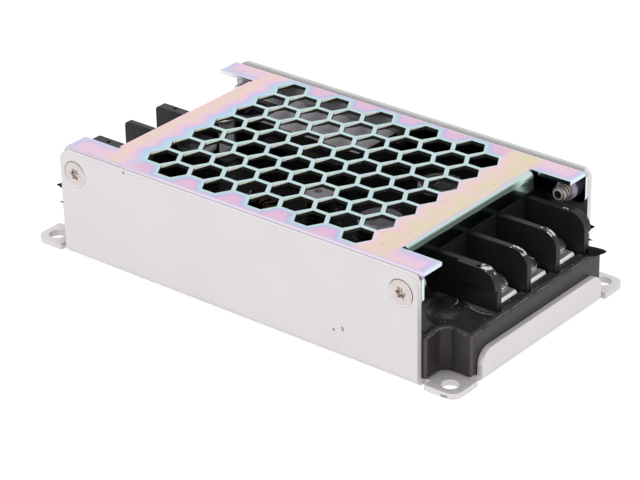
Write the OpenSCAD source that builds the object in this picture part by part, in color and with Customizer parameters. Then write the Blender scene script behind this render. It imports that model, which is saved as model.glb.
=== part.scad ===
// Enclosed, potted dc-dc converter: a folded chassis and a folded vented cover, a potted circuit
// board in a plastic tray, and a barrier terminal block with clamp screws at each end.
// Millimetres. X runs along the case towards the input terminals, Z is up, and the origin is
// in the middle of the chassis floor's underside.

/* [Chassis] */
// Length over the end walls and the mounting ears
case_l = 106; // [100:1:140]
// Width over the side walls
case_w = 56; // [54:1:90]
// Height of the side walls
case_h = 23; // [22:0.5:40]
// Length of each mounting ear past the side walls
ear_l = 8.5; // [8:0.5:12]
// Thickness of the chassis sheet
sheet_t = 1.2; // [0.8:0.1:1.4]
// Inside radius of the chassis bends
sheet_bend_r = 0.4; // [0.2:0.1:0.8]
// Height of the low end walls
end_wall_h = 6.5; // [4:0.5:9]
// Width of each mounting ear beside the end wall
ear_w = 8.5; // [7:0.1:10]
// Radius at the top corners of the end walls
end_wall_r = 3; // [1:0.5:3.5]
// Radius at the top corners of the side walls
side_wall_r = 2; // [0.5:0.5:4]
// Radius at the outer corner of an ear
ear_r = 2.2; // [1:0.2:3]
// Diameter of the mounting holes
mount_hole_d = 3.5; // [3:0.1:4.2]
// Distance from a mounting hole to the end of its ear
mount_edge_x = 3.25; // [2.8:0.05:4.5]
// Distance from a mounting hole to the side of its ear
mount_edge_y = 3; // [2.8:0.05:4.5]
// Width of the bend relief slots
relief_w = 1.5; // [0.8:0.1:2]
// Depth of the bend relief slots
relief_d = 1.9; // [1.7:0.1:2.4]

/* [Cover] */
// Thickness of the cover sheet
cover_t = 0.8; // [0.5:0.1:1.2]
// Inside radius of the cover bends
cover_bend_r = 0.4; // [0.2:0.1:0.8]
// Clearance between the cover flanges and the side walls
cover_fit = 0.1; // [0.05:0.05:0.3]
// Height of the side flanges
flange_h = 7; // [6.8:0.2:9]
// Radius at the lower corners of the flanges
flange_r = 1.5; // [0.5:0.5:2]
// Depth of the end notch that leaves the terminals open
notch_d = 8; // [6:0.5:9]
// Width of each cover arm beside a notch
arm_w = 7.4; // [6:0.2:9]
// Height of the lip turned down at a notch
lip_h = 3.8; // [2:0.2:4]
// Gap between the lip's bend and the arm
lip_relief = 0.8; // [0.5:0.1:1.2]
// Distance across the flats of a vent hole
hex_flats = 5.7; // [4:0.05:6]
// Rib between two vent holes
hex_rib = 0.9; // [0.8:0.05:1.6]
// Plain border between the vent holes and a notch
vent_border_x = 7.4; // [5:0.1:12]
// Plain border between the vent holes and a side bend
vent_border_y = 1.1; // [0.8:0.1:4]

/* [Cover screws] */
// Diameter of the thread
screw_d = 3; // [2.5:0.5:3]
// Diameter of the countersunk head
screw_head_d = 5.5; // [5:0.1:6]
// Length over the head
screw_l = 6; // [5:0.5:8]
// Chamfer at the screw's tip
screw_tip = 0.4; // [0.2:0.1:0.6]
// Distance from a screw to the end of its side wall
screw_edge_x = 3.8; // [3.5:0.1:6]
// Distance from a screw to the top of its side wall
screw_drop = 4.5; // [4:0.1:4.6]
// Radius over the lobes of the drive recess
drive_r = 1.25; // [1:0.05:1.4]
// Radius of each lobe
drive_lobe_r = 0.38; // [0.3:0.02:0.45]
// Depth of the drive recess
drive_h = 0.75; // [0.5:0.05:1]
// Length of the drawn collar that takes the thread
collar_l = 1.4; // [1:0.1:2]
// Wall of the drawn collar
collar_t = 0.55; // [0.4:0.05:0.8]
// Clearance of the thread in its collar
thread_fit = 0.1; // [0.05:0.05:0.15]

/* [Tray and board] */
// Wall and floor of the potting tray
tray_t = 1; // [0.8:0.1:1.2]
// Height of the potting tray
tray_h = 8.7; // [8.4:0.1:11]
// Clearance between the tray and the chassis walls
tray_fit = 0.1; // [0.05:0.05:0.2]
// How far the tray's sides reach past the side walls
tray_reach = 0.9; // [0:0.1:1.2]
// Width of the tray's step beside each ear
tray_step = 6.9; // [6.5:0.1:7.6]
// Radius of the scallop round a mounting hole
scallop_r = 2; // [1.5:0.1:3]
// Radius at the tray's outer corners
tray_corner_r = 0.6; // [0.5:0.1:1.5]
// Radius at the tray's inner corners
tray_inner_r = 0.4; // [0.2:0.1:0.8]
// Height of the posts under the board
post_h = 2; // [1.5:0.1:2.5]
// Diameter of the posts under the board
post_d = 3; // [2:0.5:4]
// Distance from the outer posts to the ends of the tray's sides
post_edge_x = 9; // [6:0.5:12]
// Distance from all posts to the sides of the tray's ends
post_edge_y = 3.7; // [3:0.1:6]
// Thickness of the circuit board
board_t = 1.6; // [1:0.1:2]
// Clearance between the board and the tray
board_fit = 0.4; // [0.2:0.1:0.8]
// Depth of the potting below the tray's rim
pot_drop = 0.6; // [0.4:0.1:1.2]
// Clearance between the potting and what it surrounds
pot_fit = 0.05; // [0.03:0.01:0.1]
// Thickness of the potting dome beside the varistor
dome_wall = 0.8; // [0.7:0.1:1.4]

/* [Terminal blocks] */
// Distance between two terminals
pitch = 9.5; // [8.5:0.1:9.8]
// Thickness of a barrier
barrier_t = 1.3; // [1.2:0.1:2]
// Depth of a terminal block from back to front
block_d = 16.3; // [15:0.1:18]
// Gap between the barrier tops and the cover's lip
lip_gap = 0.7; // [0.4:0.1:2]
// Gap between the barriers and the tray's end
block_gap = 0.65; // [0.2:0.05:1]
// Gap between the input block and what stands nearest to its side
input_gap = 1.2; // [1:0.1:5]
// Gap between the output block and what stands nearest to its side
output_gap = 7.3; // [1:0.1:12]
// Radius at the shoulders of the input barriers
input_shoulder_r = 3.5; // [1:0.1:4]
// Radius at the shoulders of the output barriers
output_shoulder_r = 1; // [0.5:0.1:4]
// Thickness of the back wall of a block
back_t = 2.2; // [1.5:0.1:3]
// Height of a bay's floor above the board
bay_h = 3.6; // [3.5:0.1:5]
// Distance from a bay's floor back to the barrier ends
bay_setback = 1.4; // [0.5:0.1:2]
// Thickness of the raised panel on the outer barriers
panel_t = 0.8; // [0.4:0.1:0.8]
// Length of that panel
panel_l = 8.8; // [6:0.1:12]
// Height of that panel
panel_h = 3.9; // [3:0.1:7]
// Diameter of the moulding gate's mark on the outer barriers
gate_d = 0.9; // [0.6:0.1:1.4]
// Distance from a gate mark to the barrier ends
gate_setback = 4.4; // [4:0.1:7]

/* [Terminal hardware] */
// Thickness of a terminal tab
tab_t = 1; // [0.8:0.1:1.2]
// Width of a terminal tab
tab_w = 7; // [5:0.1:7]
// Distance from a tab's front edge to the barrier ends
tab_setback = 1.75; // [1.5:0.05:2.6]
// Slope of a tab's front edge, from its lower to its upper corner
tab_slope = 0.45; // [0.2:0.05:0.8]
// Height of the upright strip below the slope at a tab's front
tab_edge = 0.4; // [0.1:0.1:0.6]
// Width of a tab's leg
leg_w = 4; // [2:0.5:5]
// Distance from a terminal screw to the barrier ends
clamp_setback = 5.8; // [5:0.1:6]
// Width of a clamp plate
clamp_w = 5.2; // [5:0.1:6]
// Thickness of a clamp plate
clamp_t = 0.6; // [0.5:0.1:1]
// Width of the grip grooves under a clamp plate
grip_w = 0.4; // [0.2:0.1:0.4]
// Depth of the grip grooves
grip_h = 0.2; // [0.1:0.05:0.3]
// Distance from a grip groove to the plate's edge
grip_edge = 0.2; // [0.1:0.05:0.25]
// Outside diameter of a lock washer
washer_d = 6; // [5:0.1:6.4]
// Thickness of a lock washer
washer_t = 0.5; // [0.4:0.1:0.8]
// Width of the split in a lock washer
washer_split = 0.5; // [0.3:0.1:0.8]
// Diameter of a terminal screw's thread
clamp_screw_d = 3.5; // [3:0.5:3.5]
// Diameter of a terminal screw's head
clamp_head_d = 7; // [5.6:0.1:7.4]
// Height of a terminal screw's head
clamp_head_h = 1.7; // [1.5:0.1:2.2]
// Radius at the upper edge of a terminal screw's head
clamp_head_r = 1; // [0.6:0.1:1.3]
// Length of the cross recess in a terminal screw's head
cross_l = 3.2; // [2.8:0.1:3.8]
// Width of the cross recess
cross_w = 0.8; // [0.6:0.1:1]
// Depth of the cross recess
cross_h = 1; // [0.8:0.1:1.3]
// Width of the slot across a terminal screw's head
slot_w = 0.7; // [0.5:0.1:0.9]
// Depth of that slot
slot_h = 0.6; // [0.4:0.1:0.8]
// Length of a terminal screw below its head
clamp_screw_l = 5.2; // [4.8:0.1:5.6]
// Clearance round a terminal screw's thread
clamp_fit = 0.1; // [0.05:0.05:0.15]
// Clearance round a terminal screw's thread in the block
block_fit = 0.3; // [0.2:0.05:0.5]

/* [Parts on the board] */
// Length of the transformer
trafo_l = 26; // [20:1:28]
// Width of the transformer over its bobbin
trafo_w = 17.4; // [15:0.2:19]
// Gap between the transformer and the tray's side
trafo_gap = 0.95; // [0.3:0.05:3]
// Gap between the transformer and the cover
trafo_headroom = 1.6; // [0.8:0.1:4]
// Width of the ferrite core
core_w = 12.6; // [10:0.2:13]
// Thickness of the ferrite core's plates
core_t = 2.5; // [2:0.1:3]
// Thickness of the ferrite core's outer legs
core_leg_t = 3.2; // [2:0.1:3.6]
// Diameter of the ferrite core's middle leg
core_leg_d = 8; // [6:0.5:9]
// Thickness of the bobbin's walls
bobbin_t = 0.8; // [0.6:0.1:1]
// Thickness of the bobbin's foot
foot_t = 2.5; // [2:0.1:3]
// Gap between the coil and the core or the bobbin's edge
coil_gap = 0.4; // [0.3:0.1:1]
// Diameter of an input capacitor
input_can_d = 9; // [8:0.5:12]
// Diameter of an output capacitor
output_can_d = 8; // [6:0.5:9]
// Gap between the capacitors and the cover
can_headroom = 2.4; // [1:0.1:5]
// Radius at a capacitor's upper edge
can_edge_r = 0.9; // [0.4:0.1:1.4]
// Height of the rolled groove above a capacitor's foot
can_groove_z = 5; // [4:0.1:6]
// Radius of the rolled groove
can_groove_r = 0.5; // [0.3:0.1:0.8]
// Width of the vent score on a capacitor's top
can_score = 0.45; // [0.3:0.05:0.6]
// Length of the vent score on a capacitor's top
can_score_l = 5; // [3:0.1:5.5]
// Diameter of the input choke
drum_d = 6.5; // [5:0.5:8]
// Height of the input choke
drum_h = 12; // [10:0.5:13]
// Diameter of the input choke's post
drum_post_d = 3; // [2:0.2:4]
// Diameter of the input choke's coil
drum_coil_d = 5.6; // [4:0.2:6]
// Thickness of the input choke's flanges
drum_flange_t = 1.2; // [0.8:0.1:2]
// Outside diameter of the output choke's ring
ring_d = 15; // [12:0.5:16]
// Radial width of the output choke's ring
ring_w = 3.4; // [2.5:0.1:4]
// Height of the output choke's ring
ring_h = 5.5; // [4:0.5:7]
// Diameter of the output choke's wire
wire_d = 0.9; // [0.6:0.1:1]
// Number of turns on the output choke's ring
ring_turns = 18; // [10:1:18]
// Diameter of the varistor
varistor_d = 2.8; // [2:0.1:3.4]
// Height of the varistor above the potting's level
varistor_rise = 1.2; // [0.6:0.1:1.3]
// Gap between the varistor and the input block
varistor_gap = 1.5; // [1:0.1:3]
// Distance from the varistor's middle to the barrier ends
varistor_setback = 9.1; // [6:0.1:12]
// Length of a power package
power_l = 6.6; // [5:0.1:7]
// Width of a power package
power_w = 6.1; // [5:0.1:6.5]
// Height of a power package
power_h = 2.3; // [1.5:0.1:3]
// Thickness of a power package's metal tab
power_tab_t = 0.5; // [0.3:0.1:0.8]
// Rim of the metal tab round the moulded body
power_rim = 0.3; // [0.2:0.05:0.5]
// Length of the control chip
chip_l = 5; // [4:0.1:6]
// Width of the control chip
chip_w = 4; // [3:0.1:4.5]
// Height of the control chip
chip_h = 1.6; // [1:0.1:2]
// Length of the optocoupler
opto_l = 6.5; // [5:0.1:8]
// Width of the optocoupler
opto_w = 4.6; // [4:0.1:5]
// Height of the optocoupler
opto_h = 3.4; // [2:0.1:3.5]
// Length of the fuse
fuse_l = 8.5; // [6:0.1:9]
// Width of the fuse
fuse_w = 4; // [3:0.1:4.5]
// Height of the fuse
fuse_h = 7.5; // [5:0.1:9]

/* [Board layout] */
// Gap between the rectifier diodes and the output block
diode_gap = 1; // [0.5:0.1:2]
// Gap between the transformer and the row of diodes and capacitors
trafo_row_gap = 0.5; // [0.3:0.1:2]
// Gap between the power transistors and the transformer
transistor_gap = 2; // [0.5:0.1:3]
// Distance from the outer power packages to the tray's side
power_side = 4.65; // [4:0.05:5]
// Distance between two power packages
power_step = 7.5; // [7:0.1:8]
// Gap between the input capacitors and the input block
input_can_gap = 8.7; // [6:0.1:10]
// Gap between the inner output capacitor and the output block's back
output_can_gap = 0.3; // [0.2:0.1:2]
// Distance from the outer output capacitor to the plane of the output block's back
output_can_inset = 2.75; // [1:0.05:4]
// Distance from the outer input capacitor to the tray's side
input_can_side = 14.7; // [12:0.05:16]
// Gap between the outer output capacitor and the output block's side
output_can_side = 2.75; // [0.5:0.05:4]
// Place of the inner input capacitor to one side of the middle
input_can_y = 8; // [6:0.1:10]
// Gap between the inner output capacitor and the rectifier diodes
output_can_step = 2.5; // [0.5:0.1:3]
// Distance from the input choke to the tray's side
drum_side = 22.2; // [20:0.05:24]
// Place of the input choke towards the input
drum_x = 1.6; // [0:0.1:4]
// Distance from the output choke to the tray's side
ring_side = 15.65; // [15:0.05:17]
// Place of the output choke towards the output
ring_x = 11.8; // [11:0.1:13]
// Distance from the control chip to the tray's side
chip_side = 5.15; // [4:0.05:6]
// Place of the control chip towards the input
chip_x = 0; // [-2:0.1:4]
// Distance from the optocoupler to the tray's side
opto_side = 3.45; // [3:0.05:4]
// Place of the optocoupler towards the output
opto_x = 12; // [8:0.1:14]
// Distance from the fuse to the tray's side
fuse_side = 8.15; // [6:0.05:9]
// Gap between the fuse and the input block
fuse_gap = 6.5; // [5:0.1:8]

/* [Hidden] */
$fn = 64;
input_poles = 3;
output_poles = 2;
over = 1;

// Heights of the layers
tray_z = sheet_t;
tray_floor_z = tray_z + tray_t;
tray_top_z = tray_z + tray_h;
board_z = tray_floor_z + post_h;
board_top_z = board_z + board_t;
pot_z = tray_top_z - pot_drop;
bay_z = board_top_z + bay_h;
tab_top_z = bay_z + tab_t;
washer_z = tab_top_z + clamp_t;
head_z = washer_z + washer_t;
block_top_z = case_h - lip_h - lip_gap;
ceiling_z = case_h - cover_t;

// Plan of the sheet metal
wall_l = case_l - 2 * ear_l;
end_wall_w = case_w - 2 * ear_w;
sheet_bend_out = sheet_bend_r + sheet_t;
mount_x = case_l / 2 - mount_edge_x;
mount_y = case_w / 2 - mount_edge_y;
cover_y = case_w / 2 - sheet_t - cover_fit;
cover_bend_out = cover_bend_r + cover_t;
notch_x = wall_l / 2 - notch_d;
notch_y = case_w / 2 - arm_w;
lip_y = notch_y - lip_relief;
screw_x = wall_l / 2 - screw_edge_x;
screw_z = case_h - screw_drop;

// Vent pattern: columns along X, every second column half a hole lower
hex_pitch = hex_flats + hex_rib;
hex_step = hex_pitch * sqrt(3) / 2;
hex_r = hex_flats / sqrt(3);
vent_l = 2 * (notch_x - vent_border_x);
vent_w = 2 * (cover_y - cover_bend_out - vent_border_y);
vent_cols = floor((vent_l - 2 * hex_r) / hex_step) + 1;
vent_rows = floor((vent_w - hex_flats - hex_pitch / 2) / hex_pitch) + 1;

// Plan of the tray and of the terminal blocks
tray_side_x = wall_l / 2 + tray_reach;
tray_side_y = case_w / 2 - sheet_t - tray_fit;
tray_end_x = case_l / 2 - sheet_t - tray_fit;
tray_end_y = case_w / 2 - tray_step;
posts_at = [[post_edge_x, tray_end_y - post_edge_y],
            [tray_side_x - post_edge_x, tray_end_y - post_edge_y]];
block_x = tray_end_x - tray_t - block_gap - block_d;
bay_w = pitch - barrier_t;
function block_w(poles) = poles * pitch + barrier_t;
block_side_y = min(tray_end_y - tray_t, case_w / 2 - screw_l - panel_t);
function block_y(poles, gap) = block_side_y - gap - block_w(poles);
function pole_y(i) = barrier_t + bay_w / 2 + i * pitch;
clamp_x = block_d - clamp_setback;
tab_x = back_t + clamp_fit;
thread_r = clamp_screw_d / 2;

// Places of the parts on the board
tray_in_y = tray_side_y - tray_t;
diode_x = diode_gap + power_l / 2 - block_x;
row_l = max(diode_gap + power_l, output_can_gap + output_can_d);
trafo_x = row_l + trafo_row_gap + trafo_l / 2 - block_x;
transistor_x = trafo_x + trafo_l / 2 + transistor_gap + power_l / 2;
trafo_y = tray_in_y - trafo_gap - trafo_w / 2;
trafo_top_z = ceiling_z - trafo_headroom;
core_z = board_top_z + foot_t;
window_z0 = core_z + core_t;
window_z1 = trafo_top_z - core_t;
coil_r = core_leg_d / 2 + pot_fit + bobbin_t;
coil_out_r = min(trafo_l / 2 - core_leg_t, trafo_w / 2) - coil_gap;
can_top_z = ceiling_z - can_headroom;
power_y = [tray_in_y - power_side - power_step, tray_in_y - power_side];
transistors_at = [for (y = power_y) [transistor_x, y]];
diodes_at = [for (y = power_y) [diode_x, -y]];
input_can_x = block_x - input_can_gap - input_can_d / 2;
input_cans = [[input_can_x, tray_in_y - input_can_side], [input_can_x, -input_can_y]];
output_cans = [[output_can_inset - block_x,
                output_can_side + panel_t + output_can_d / 2 - block_y(output_poles, output_gap)],
               [output_can_gap + output_can_d / 2 - block_x,
                output_can_step + (output_can_d + power_w) / 2 - power_y[0]]];
drum_at = [drum_x, drum_side - tray_in_y];
ring_at = [-ring_x, ring_side - tray_in_y];
chip_at = [chip_x, chip_side - tray_in_y];
opto_at = [-opto_x, opto_side - tray_in_y];
fuse_at = [block_x - fuse_gap - fuse_l / 2, fuse_side - tray_in_y];
power_size = [power_l, power_w, power_h];
power_tab = [power_l, power_w, power_tab_t];
power_body = [power_l - 2 * power_rim, power_w - 2 * power_rim, power_h];
chip_size = [chip_l, chip_w, chip_h];
opto_size = [opto_l, opto_w, opto_h];
fuse_size = [fuse_l, fuse_w, fuse_h];
varistor_at = [block_x + block_d - varistor_setback,
               block_y(input_poles, input_gap) - varistor_gap - varistor_d / 2];
varistor_h = pot_z + varistor_rise - board_top_z;
dome_r = varistor_d / 2 + dome_wall;

// A shape repeated in all four quarters of the plan
module quarters() {
    for (sx = [0, 1], sy = [0, 1]) mirror([sx, 0, 0]) mirror([0, sy, 0]) children();
}

// A rectangle with four round corners, centred
module rounded_plate(length, width, r) {
    square([length, width - 2 * r], center = true);
    square([length - 2 * r, width], center = true);
    for (x = [-1, 1], y = [-1, 1]) translate([x * (length / 2 - r), y * (width / 2 - r)]) circle(r);
}

// A rectangle that stands on the axis, with its two lower corners round
module rounded_floor(width, height, r) {
    translate([-width / 2, r]) square([width, height - r]);
    translate([r - width / 2, 0]) square([width - 2 * r, height]);
    for (s = [-1, 1]) translate([s * (width / 2 - r), r]) circle(r);
}

// Section of a sheet bent up along both edges
module channel_section(width, height, t, r_in) {
    difference() {
        rounded_floor(width, height, r_in + t);
        translate([0, t]) rounded_floor(width - 2 * t, height, r_in);
    }
}

// Section in the YZ plane carried along X, and in the XZ plane carried along Y, both centred
module along_x(length) {
    rotate([90, 0, 90]) linear_extrude(length, center = true) children();
}

module along_y(length) {
    rotate([90, 0, 0]) linear_extrude(length, center = true) children();
}

// Plan of one mounting ear, with the relief slots of its two neighbouring bends
module ear_plan() {
    ear_y = end_wall_w / 2 + relief_w;
    difference() {
        union() {
            translate([0, ear_y]) square([case_l / 2, case_w / 2 - ear_y - ear_r]);
            translate([0, ear_y]) square([case_l / 2 - ear_r, case_w / 2 - ear_y]);
            translate([case_l / 2 - ear_r, case_w / 2 - ear_r]) circle(ear_r);
            square([case_l / 2 - relief_d, ear_y]);
        }
        translate([0, case_w / 2 - relief_d]) square([wall_l / 2 + relief_w, relief_d + over]);
        translate([mount_x, mount_y]) circle(d = mount_hole_d);
    }
}

// Countersunk hole or head along +Y, its wide end at the origin
module countersink(head_d, depth) {
    rotate([-90, 0, 0]) cylinder(depth, head_d / 2, head_d / 2 - depth);
}

module chassis() {
    color([0.89, 0.87, 0.88]) difference() {
        union() {
            intersection() {
                along_x(wall_l) channel_section(case_w, case_h, sheet_t, sheet_bend_r);
                translate([0, 0, case_h]) mirror([0, 0, 1])
                    along_y(case_w) rounded_floor(wall_l, case_h, side_wall_r);
            }
            intersection() {
                along_y(end_wall_w) channel_section(case_l, end_wall_h, sheet_t, sheet_bend_r);
                translate([0, 0, end_wall_h]) mirror([0, 0, 1])
                    along_x(case_l) rounded_floor(end_wall_w, end_wall_h, end_wall_r);
            }
            linear_extrude(sheet_t) quarters() ear_plan();
            translate([0, 0, sheet_t / 2])
                cube([wall_l, case_w - 2 * sheet_bend_out, sheet_t], center = true);
            translate([0, 0, sheet_t / 2])
                cube([case_l - 2 * sheet_bend_out, end_wall_w, sheet_t], center = true);
        }
        quarters() translate([screw_x, -case_w / 2, screw_z]) {
            countersink(screw_head_d + 2 * cover_fit, sheet_t);
            rotate([-90, 0, 0]) cylinder(sheet_t + over, d = screw_d + 2 * thread_fit);
        }
    }
}

// Rows and columns of vent holes, each with two flats along X
module vent_plan() {
    for (c = [0:vent_cols - 1], r = [0:vent_rows - 1])
        translate([(c - (vent_cols - 1) / 2) * hex_step,
                   ((vent_rows - 1) / 2 + 0.25 - 0.5 * (c % 2) - r) * hex_pitch])
            circle(hex_r, $fn = 6);
}

module top_cover() {
    color([0.88, 0.82, 0.86]) difference() {
        union() {
            difference() {
                intersection() {
                    translate([0, 0, case_h]) mirror([0, 0, 1])
                        along_x(wall_l) channel_section(2 * cover_y, flange_h, cover_t, cover_bend_r);
                    translate([0, 0, case_h - flange_h])
                        along_y(case_w) rounded_floor(wall_l, flange_h, flange_r);
                }
                quarters() translate([notch_x, -over, ceiling_z - over])
                    cube([notch_d + over, notch_y + over, cover_t + 2 * over]);
                quarters() translate([notch_x - cover_bend_out, -over, ceiling_z - over])
                    cube([cover_bend_out + over, notch_y + over, cover_t + 2 * over]);
            }
            translate([0, 0, case_h]) mirror([0, 0, 1])
                along_y(2 * lip_y) channel_section(2 * notch_x, lip_h, cover_t, cover_bend_r);
            quarters() translate([screw_x, cover_y - cover_t, screw_z]) rotate([90, 0, 0])
                cylinder(collar_l, d = screw_d + 2 * (thread_fit + collar_t));
        }
        translate([0, 0, ceiling_z - over]) linear_extrude(cover_t + 2 * over) vent_plan();
        quarters() translate([screw_x, cover_y + over, screw_z]) rotate([90, 0, 0])
            cylinder(cover_t + collar_l + 2 * over, d = screw_d + 2 * thread_fit);
    }
}

// Six-lobed drive recess
module six_lobe_plan() {
    circle(drive_r - drive_lobe_r);
    for (a = [0:60:300]) rotate(a) translate([drive_r - drive_lobe_r, 0]) circle(drive_lobe_r);
}

module cover_screws() {
    color([0.82, 0.8, 0.78]) quarters() translate([screw_x, -case_w / 2, screw_z]) difference() {
        union() {
            countersink(screw_head_d, sheet_t);
            rotate([-90, 0, 0]) cylinder(screw_l - screw_tip, d = screw_d);
            translate([0, screw_l - screw_tip, 0]) rotate([-90, 0, 0])
                cylinder(screw_tip, screw_d / 2, screw_d / 2 - screw_tip);
        }
        translate([0, drive_h, 0]) rotate([90, 0, 0]) linear_extrude(drive_h + over) six_lobe_plan();
    }
}

// Plan of the tray, drawn in by a given distance: a wide middle, narrower ends between the ears,
// and a scallop in each step
module tray_plan(inset, corner_r) {
    side_x = tray_side_x - inset;
    end_y = tray_end_y - inset;
    fillet_r = scallop_r + inset;
    rounded_plate(2 * side_x, 2 * (tray_side_y - inset), corner_r);
    rounded_plate(2 * (tray_end_x - inset), 2 * end_y, corner_r);
    quarters() translate([side_x, end_y]) difference() {
        square(fillet_r);
        translate([fillet_r, fillet_r]) circle(fillet_r);
    }
}

module tray_posts(grow) {
    quarters() for (at = posts_at) translate([at[0], at[1], tray_floor_z - grow])
        cylinder(post_h + 2 * grow, d = post_d + 2 * grow);
}

// Tray with a foot that is drawn in past the chassis bends
module potting_tray() {
    color([0.16, 0.16, 0.17]) {
        difference() {
            union() {
                translate([0, 0, tray_z]) linear_extrude(tray_h) tray_plan(sheet_bend_r, tray_corner_r);
                translate([0, 0, tray_z + sheet_bend_r])
                    linear_extrude(tray_h - sheet_bend_r) tray_plan(0, tray_corner_r);
            }
            translate([0, 0, tray_floor_z]) linear_extrude(tray_h) tray_plan(tray_t, tray_inner_r);
        }
        tray_posts(0);
    }
}

module circuit_board() {
    color([0.12, 0.3, 0.16]) translate([0, 0, board_z])
        linear_extrude(board_t) tray_plan(tray_t + board_fit, tray_inner_r);
}

// A block's own frame: X from its back, Y from its first barrier, Z as the case's
module at_input() {
    translate([block_x, block_y(input_poles, input_gap), 0]) children();
}

module at_output() {
    rotate(180) translate([block_x, block_y(output_poles, output_gap), 0]) children();
}

// Room that a terminal block takes in the potting
module block_room(poles) {
    translate([-pot_fit, -pot_fit, board_top_z])
        cube([block_d - bay_setback + 2 * pot_fit, block_w(poles) + 2 * pot_fit, case_h]);
    for (i = [0:poles]) translate([0, i * pitch - pot_fit, board_top_z])
        cube([block_d + pot_fit, barrier_t + 2 * pot_fit, case_h]);
}

// Box on the board, centred at a place, grown by a clearance
module on_board(at, size, grow) {
    translate([at[0] - size[0] / 2 - grow, at[1] - size[1] / 2 - grow, board_top_z])
        cube([size[0] + 2 * grow, size[1] + 2 * grow, size[2] + grow]);
}

// Upright round on the board
module round_on_board(at, d, height, grow) {
    translate([at[0], at[1], board_top_z]) cylinder(height + grow, d = d + 2 * grow);
}

module potting_compound() {
    room_h = case_h;
    color([0.07, 0.07, 0.075]) difference() {
        union() {
            translate([0, 0, tray_floor_z])
                linear_extrude(pot_z - tray_floor_z) tray_plan(tray_t + pot_fit, tray_inner_r);
            intersection() {
                translate([varistor_at[0], varistor_at[1], pot_z]) sphere(dome_r);
                translate([0, 0, pot_z - pot_fit])
                    linear_extrude(room_h) tray_plan(tray_t + pot_fit, tray_inner_r);
            }
        }
        translate([0, 0, board_z - pot_fit])
            linear_extrude(board_t + 2 * pot_fit) tray_plan(tray_t + board_fit - pot_fit, tray_inner_r);
        tray_posts(pot_fit);
        at_input() block_room(input_poles);
        at_output() block_room(output_poles);
        on_board([trafo_x, trafo_y], [trafo_l, trafo_w, room_h], pot_fit);
        for (at = input_cans) round_on_board(at, input_can_d, room_h, pot_fit);
        for (at = output_cans) round_on_board(at, output_can_d, room_h, pot_fit);
        round_on_board(drum_at, drum_d, room_h, pot_fit);
        round_on_board(ring_at, ring_d + 2 * (wire_d + 2 * pot_fit), room_h, pot_fit);
        for (at = concat(transistors_at, diodes_at)) on_board(at, power_size, pot_fit);
        on_board(chip_at, chip_size, pot_fit);
        on_board(opto_at, opto_size, pot_fit);
        on_board(fuse_at, fuse_size, pot_fit);
        round_on_board(varistor_at, varistor_d, varistor_h, pot_fit);
    }
}

// Side of a barrier, with a round shoulder at its upper front corner
module barrier_side(shoulder_r) {
    height = block_top_z - board_top_z;
    square([block_d - shoulder_r, height]);
    square([block_d, height - shoulder_r]);
    translate([block_d - shoulder_r, height - shoulder_r]) circle(shoulder_r);
}

module barrier(shoulder_r, thickness) {
    translate([0, thickness, board_top_z]) rotate([90, 0, 0])
        linear_extrude(thickness) barrier_side(shoulder_r);
}

// A block with open bays between barriers, a back wall and a floor under each tab
module terminal_block(poles, shoulder_r) {
    width = block_w(poles);
    difference() {
        union() {
            for (i = [0:poles]) translate([0, i * pitch, 0]) barrier(shoulder_r, barrier_t);
            translate([0, 0, board_top_z]) cube([back_t, width, block_top_z - board_top_z]);
            translate([0, 0, board_top_z]) cube([block_d - bay_setback, width, bay_h]);
            intersection() {
                translate([0, -panel_t, 0]) barrier(shoulder_r, width + 2 * panel_t);
                for (y = [-panel_t, width - barrier_t])
                    translate([block_d - panel_l, y, block_top_z - panel_h])
                        cube([panel_l, barrier_t + panel_t, panel_h]);
            }
        }
        for (y = [0, width]) translate([block_d - gate_setback, y, block_top_z - gate_d / 2])
            cylinder(gate_d, d = gate_d);
        for (i = [0:poles - 1]) translate([0, pole_y(i), 0]) {
            translate([clamp_x, 0, board_top_z - over])
                cylinder(bay_h + 2 * over, r = thread_r + block_fit);
            translate([tab_x - clamp_fit, -leg_w / 2 - clamp_fit, board_top_z - over])
                cube([tab_t + 2 * clamp_fit, leg_w + 2 * clamp_fit, bay_h + 2 * over]);
        }
    }
}

module input_terminal_block() {
    color([0.13, 0.13, 0.14]) at_input() terminal_block(input_poles, input_shoulder_r);
}

module output_terminal_block() {
    color([0.13, 0.13, 0.14]) at_output() terminal_block(output_poles, output_shoulder_r);
}

// Side of a tab, with a sloped front edge
module tab_side() {
    length = block_d - tab_setback - tab_x;
    polygon([[0, 0], [length, 0], [length, tab_edge], [length - tab_slope, tab_t], [0, tab_t]]);
}

// Flat tab with a threaded hole and a leg down to the board
module terminal_tabs(poles) {
    for (i = [0:poles - 1]) translate([0, pole_y(i), 0]) {
        difference() {
            translate([tab_x, 0, bay_z]) along_y(tab_w) tab_side();
            translate([clamp_x, 0, bay_z - over]) cylinder(tab_t + 2 * over, r = thread_r + clamp_fit);
        }
        translate([tab_x, -leg_w / 2, board_top_z]) cube([tab_t, leg_w, bay_h]);
    }
}

module input_terminal_tabs() {
    color([0.8, 0.8, 0.78]) at_input() terminal_tabs(input_poles);
}

module output_terminal_tabs() {
    color([0.8, 0.8, 0.78]) at_output() terminal_tabs(output_poles);
}

// Square clamp plate with two grip grooves underneath
module clamp_plate(i) {
    color([0.78, 0.78, 0.76]) translate([clamp_x, pole_y(i), tab_top_z]) difference() {
        translate([-clamp_w / 2, -clamp_w / 2, 0]) cube([clamp_w, clamp_w, clamp_t]);
        translate([0, 0, -over]) cylinder(clamp_t + 2 * over, r = thread_r + clamp_fit);
        for (s = [0, 1]) mirror([s, 0, 0]) translate([clamp_w / 2 - grip_edge - grip_w, -clamp_w, -over])
            cube([grip_w, 2 * clamp_w, over + grip_h]);
    }
}

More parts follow.
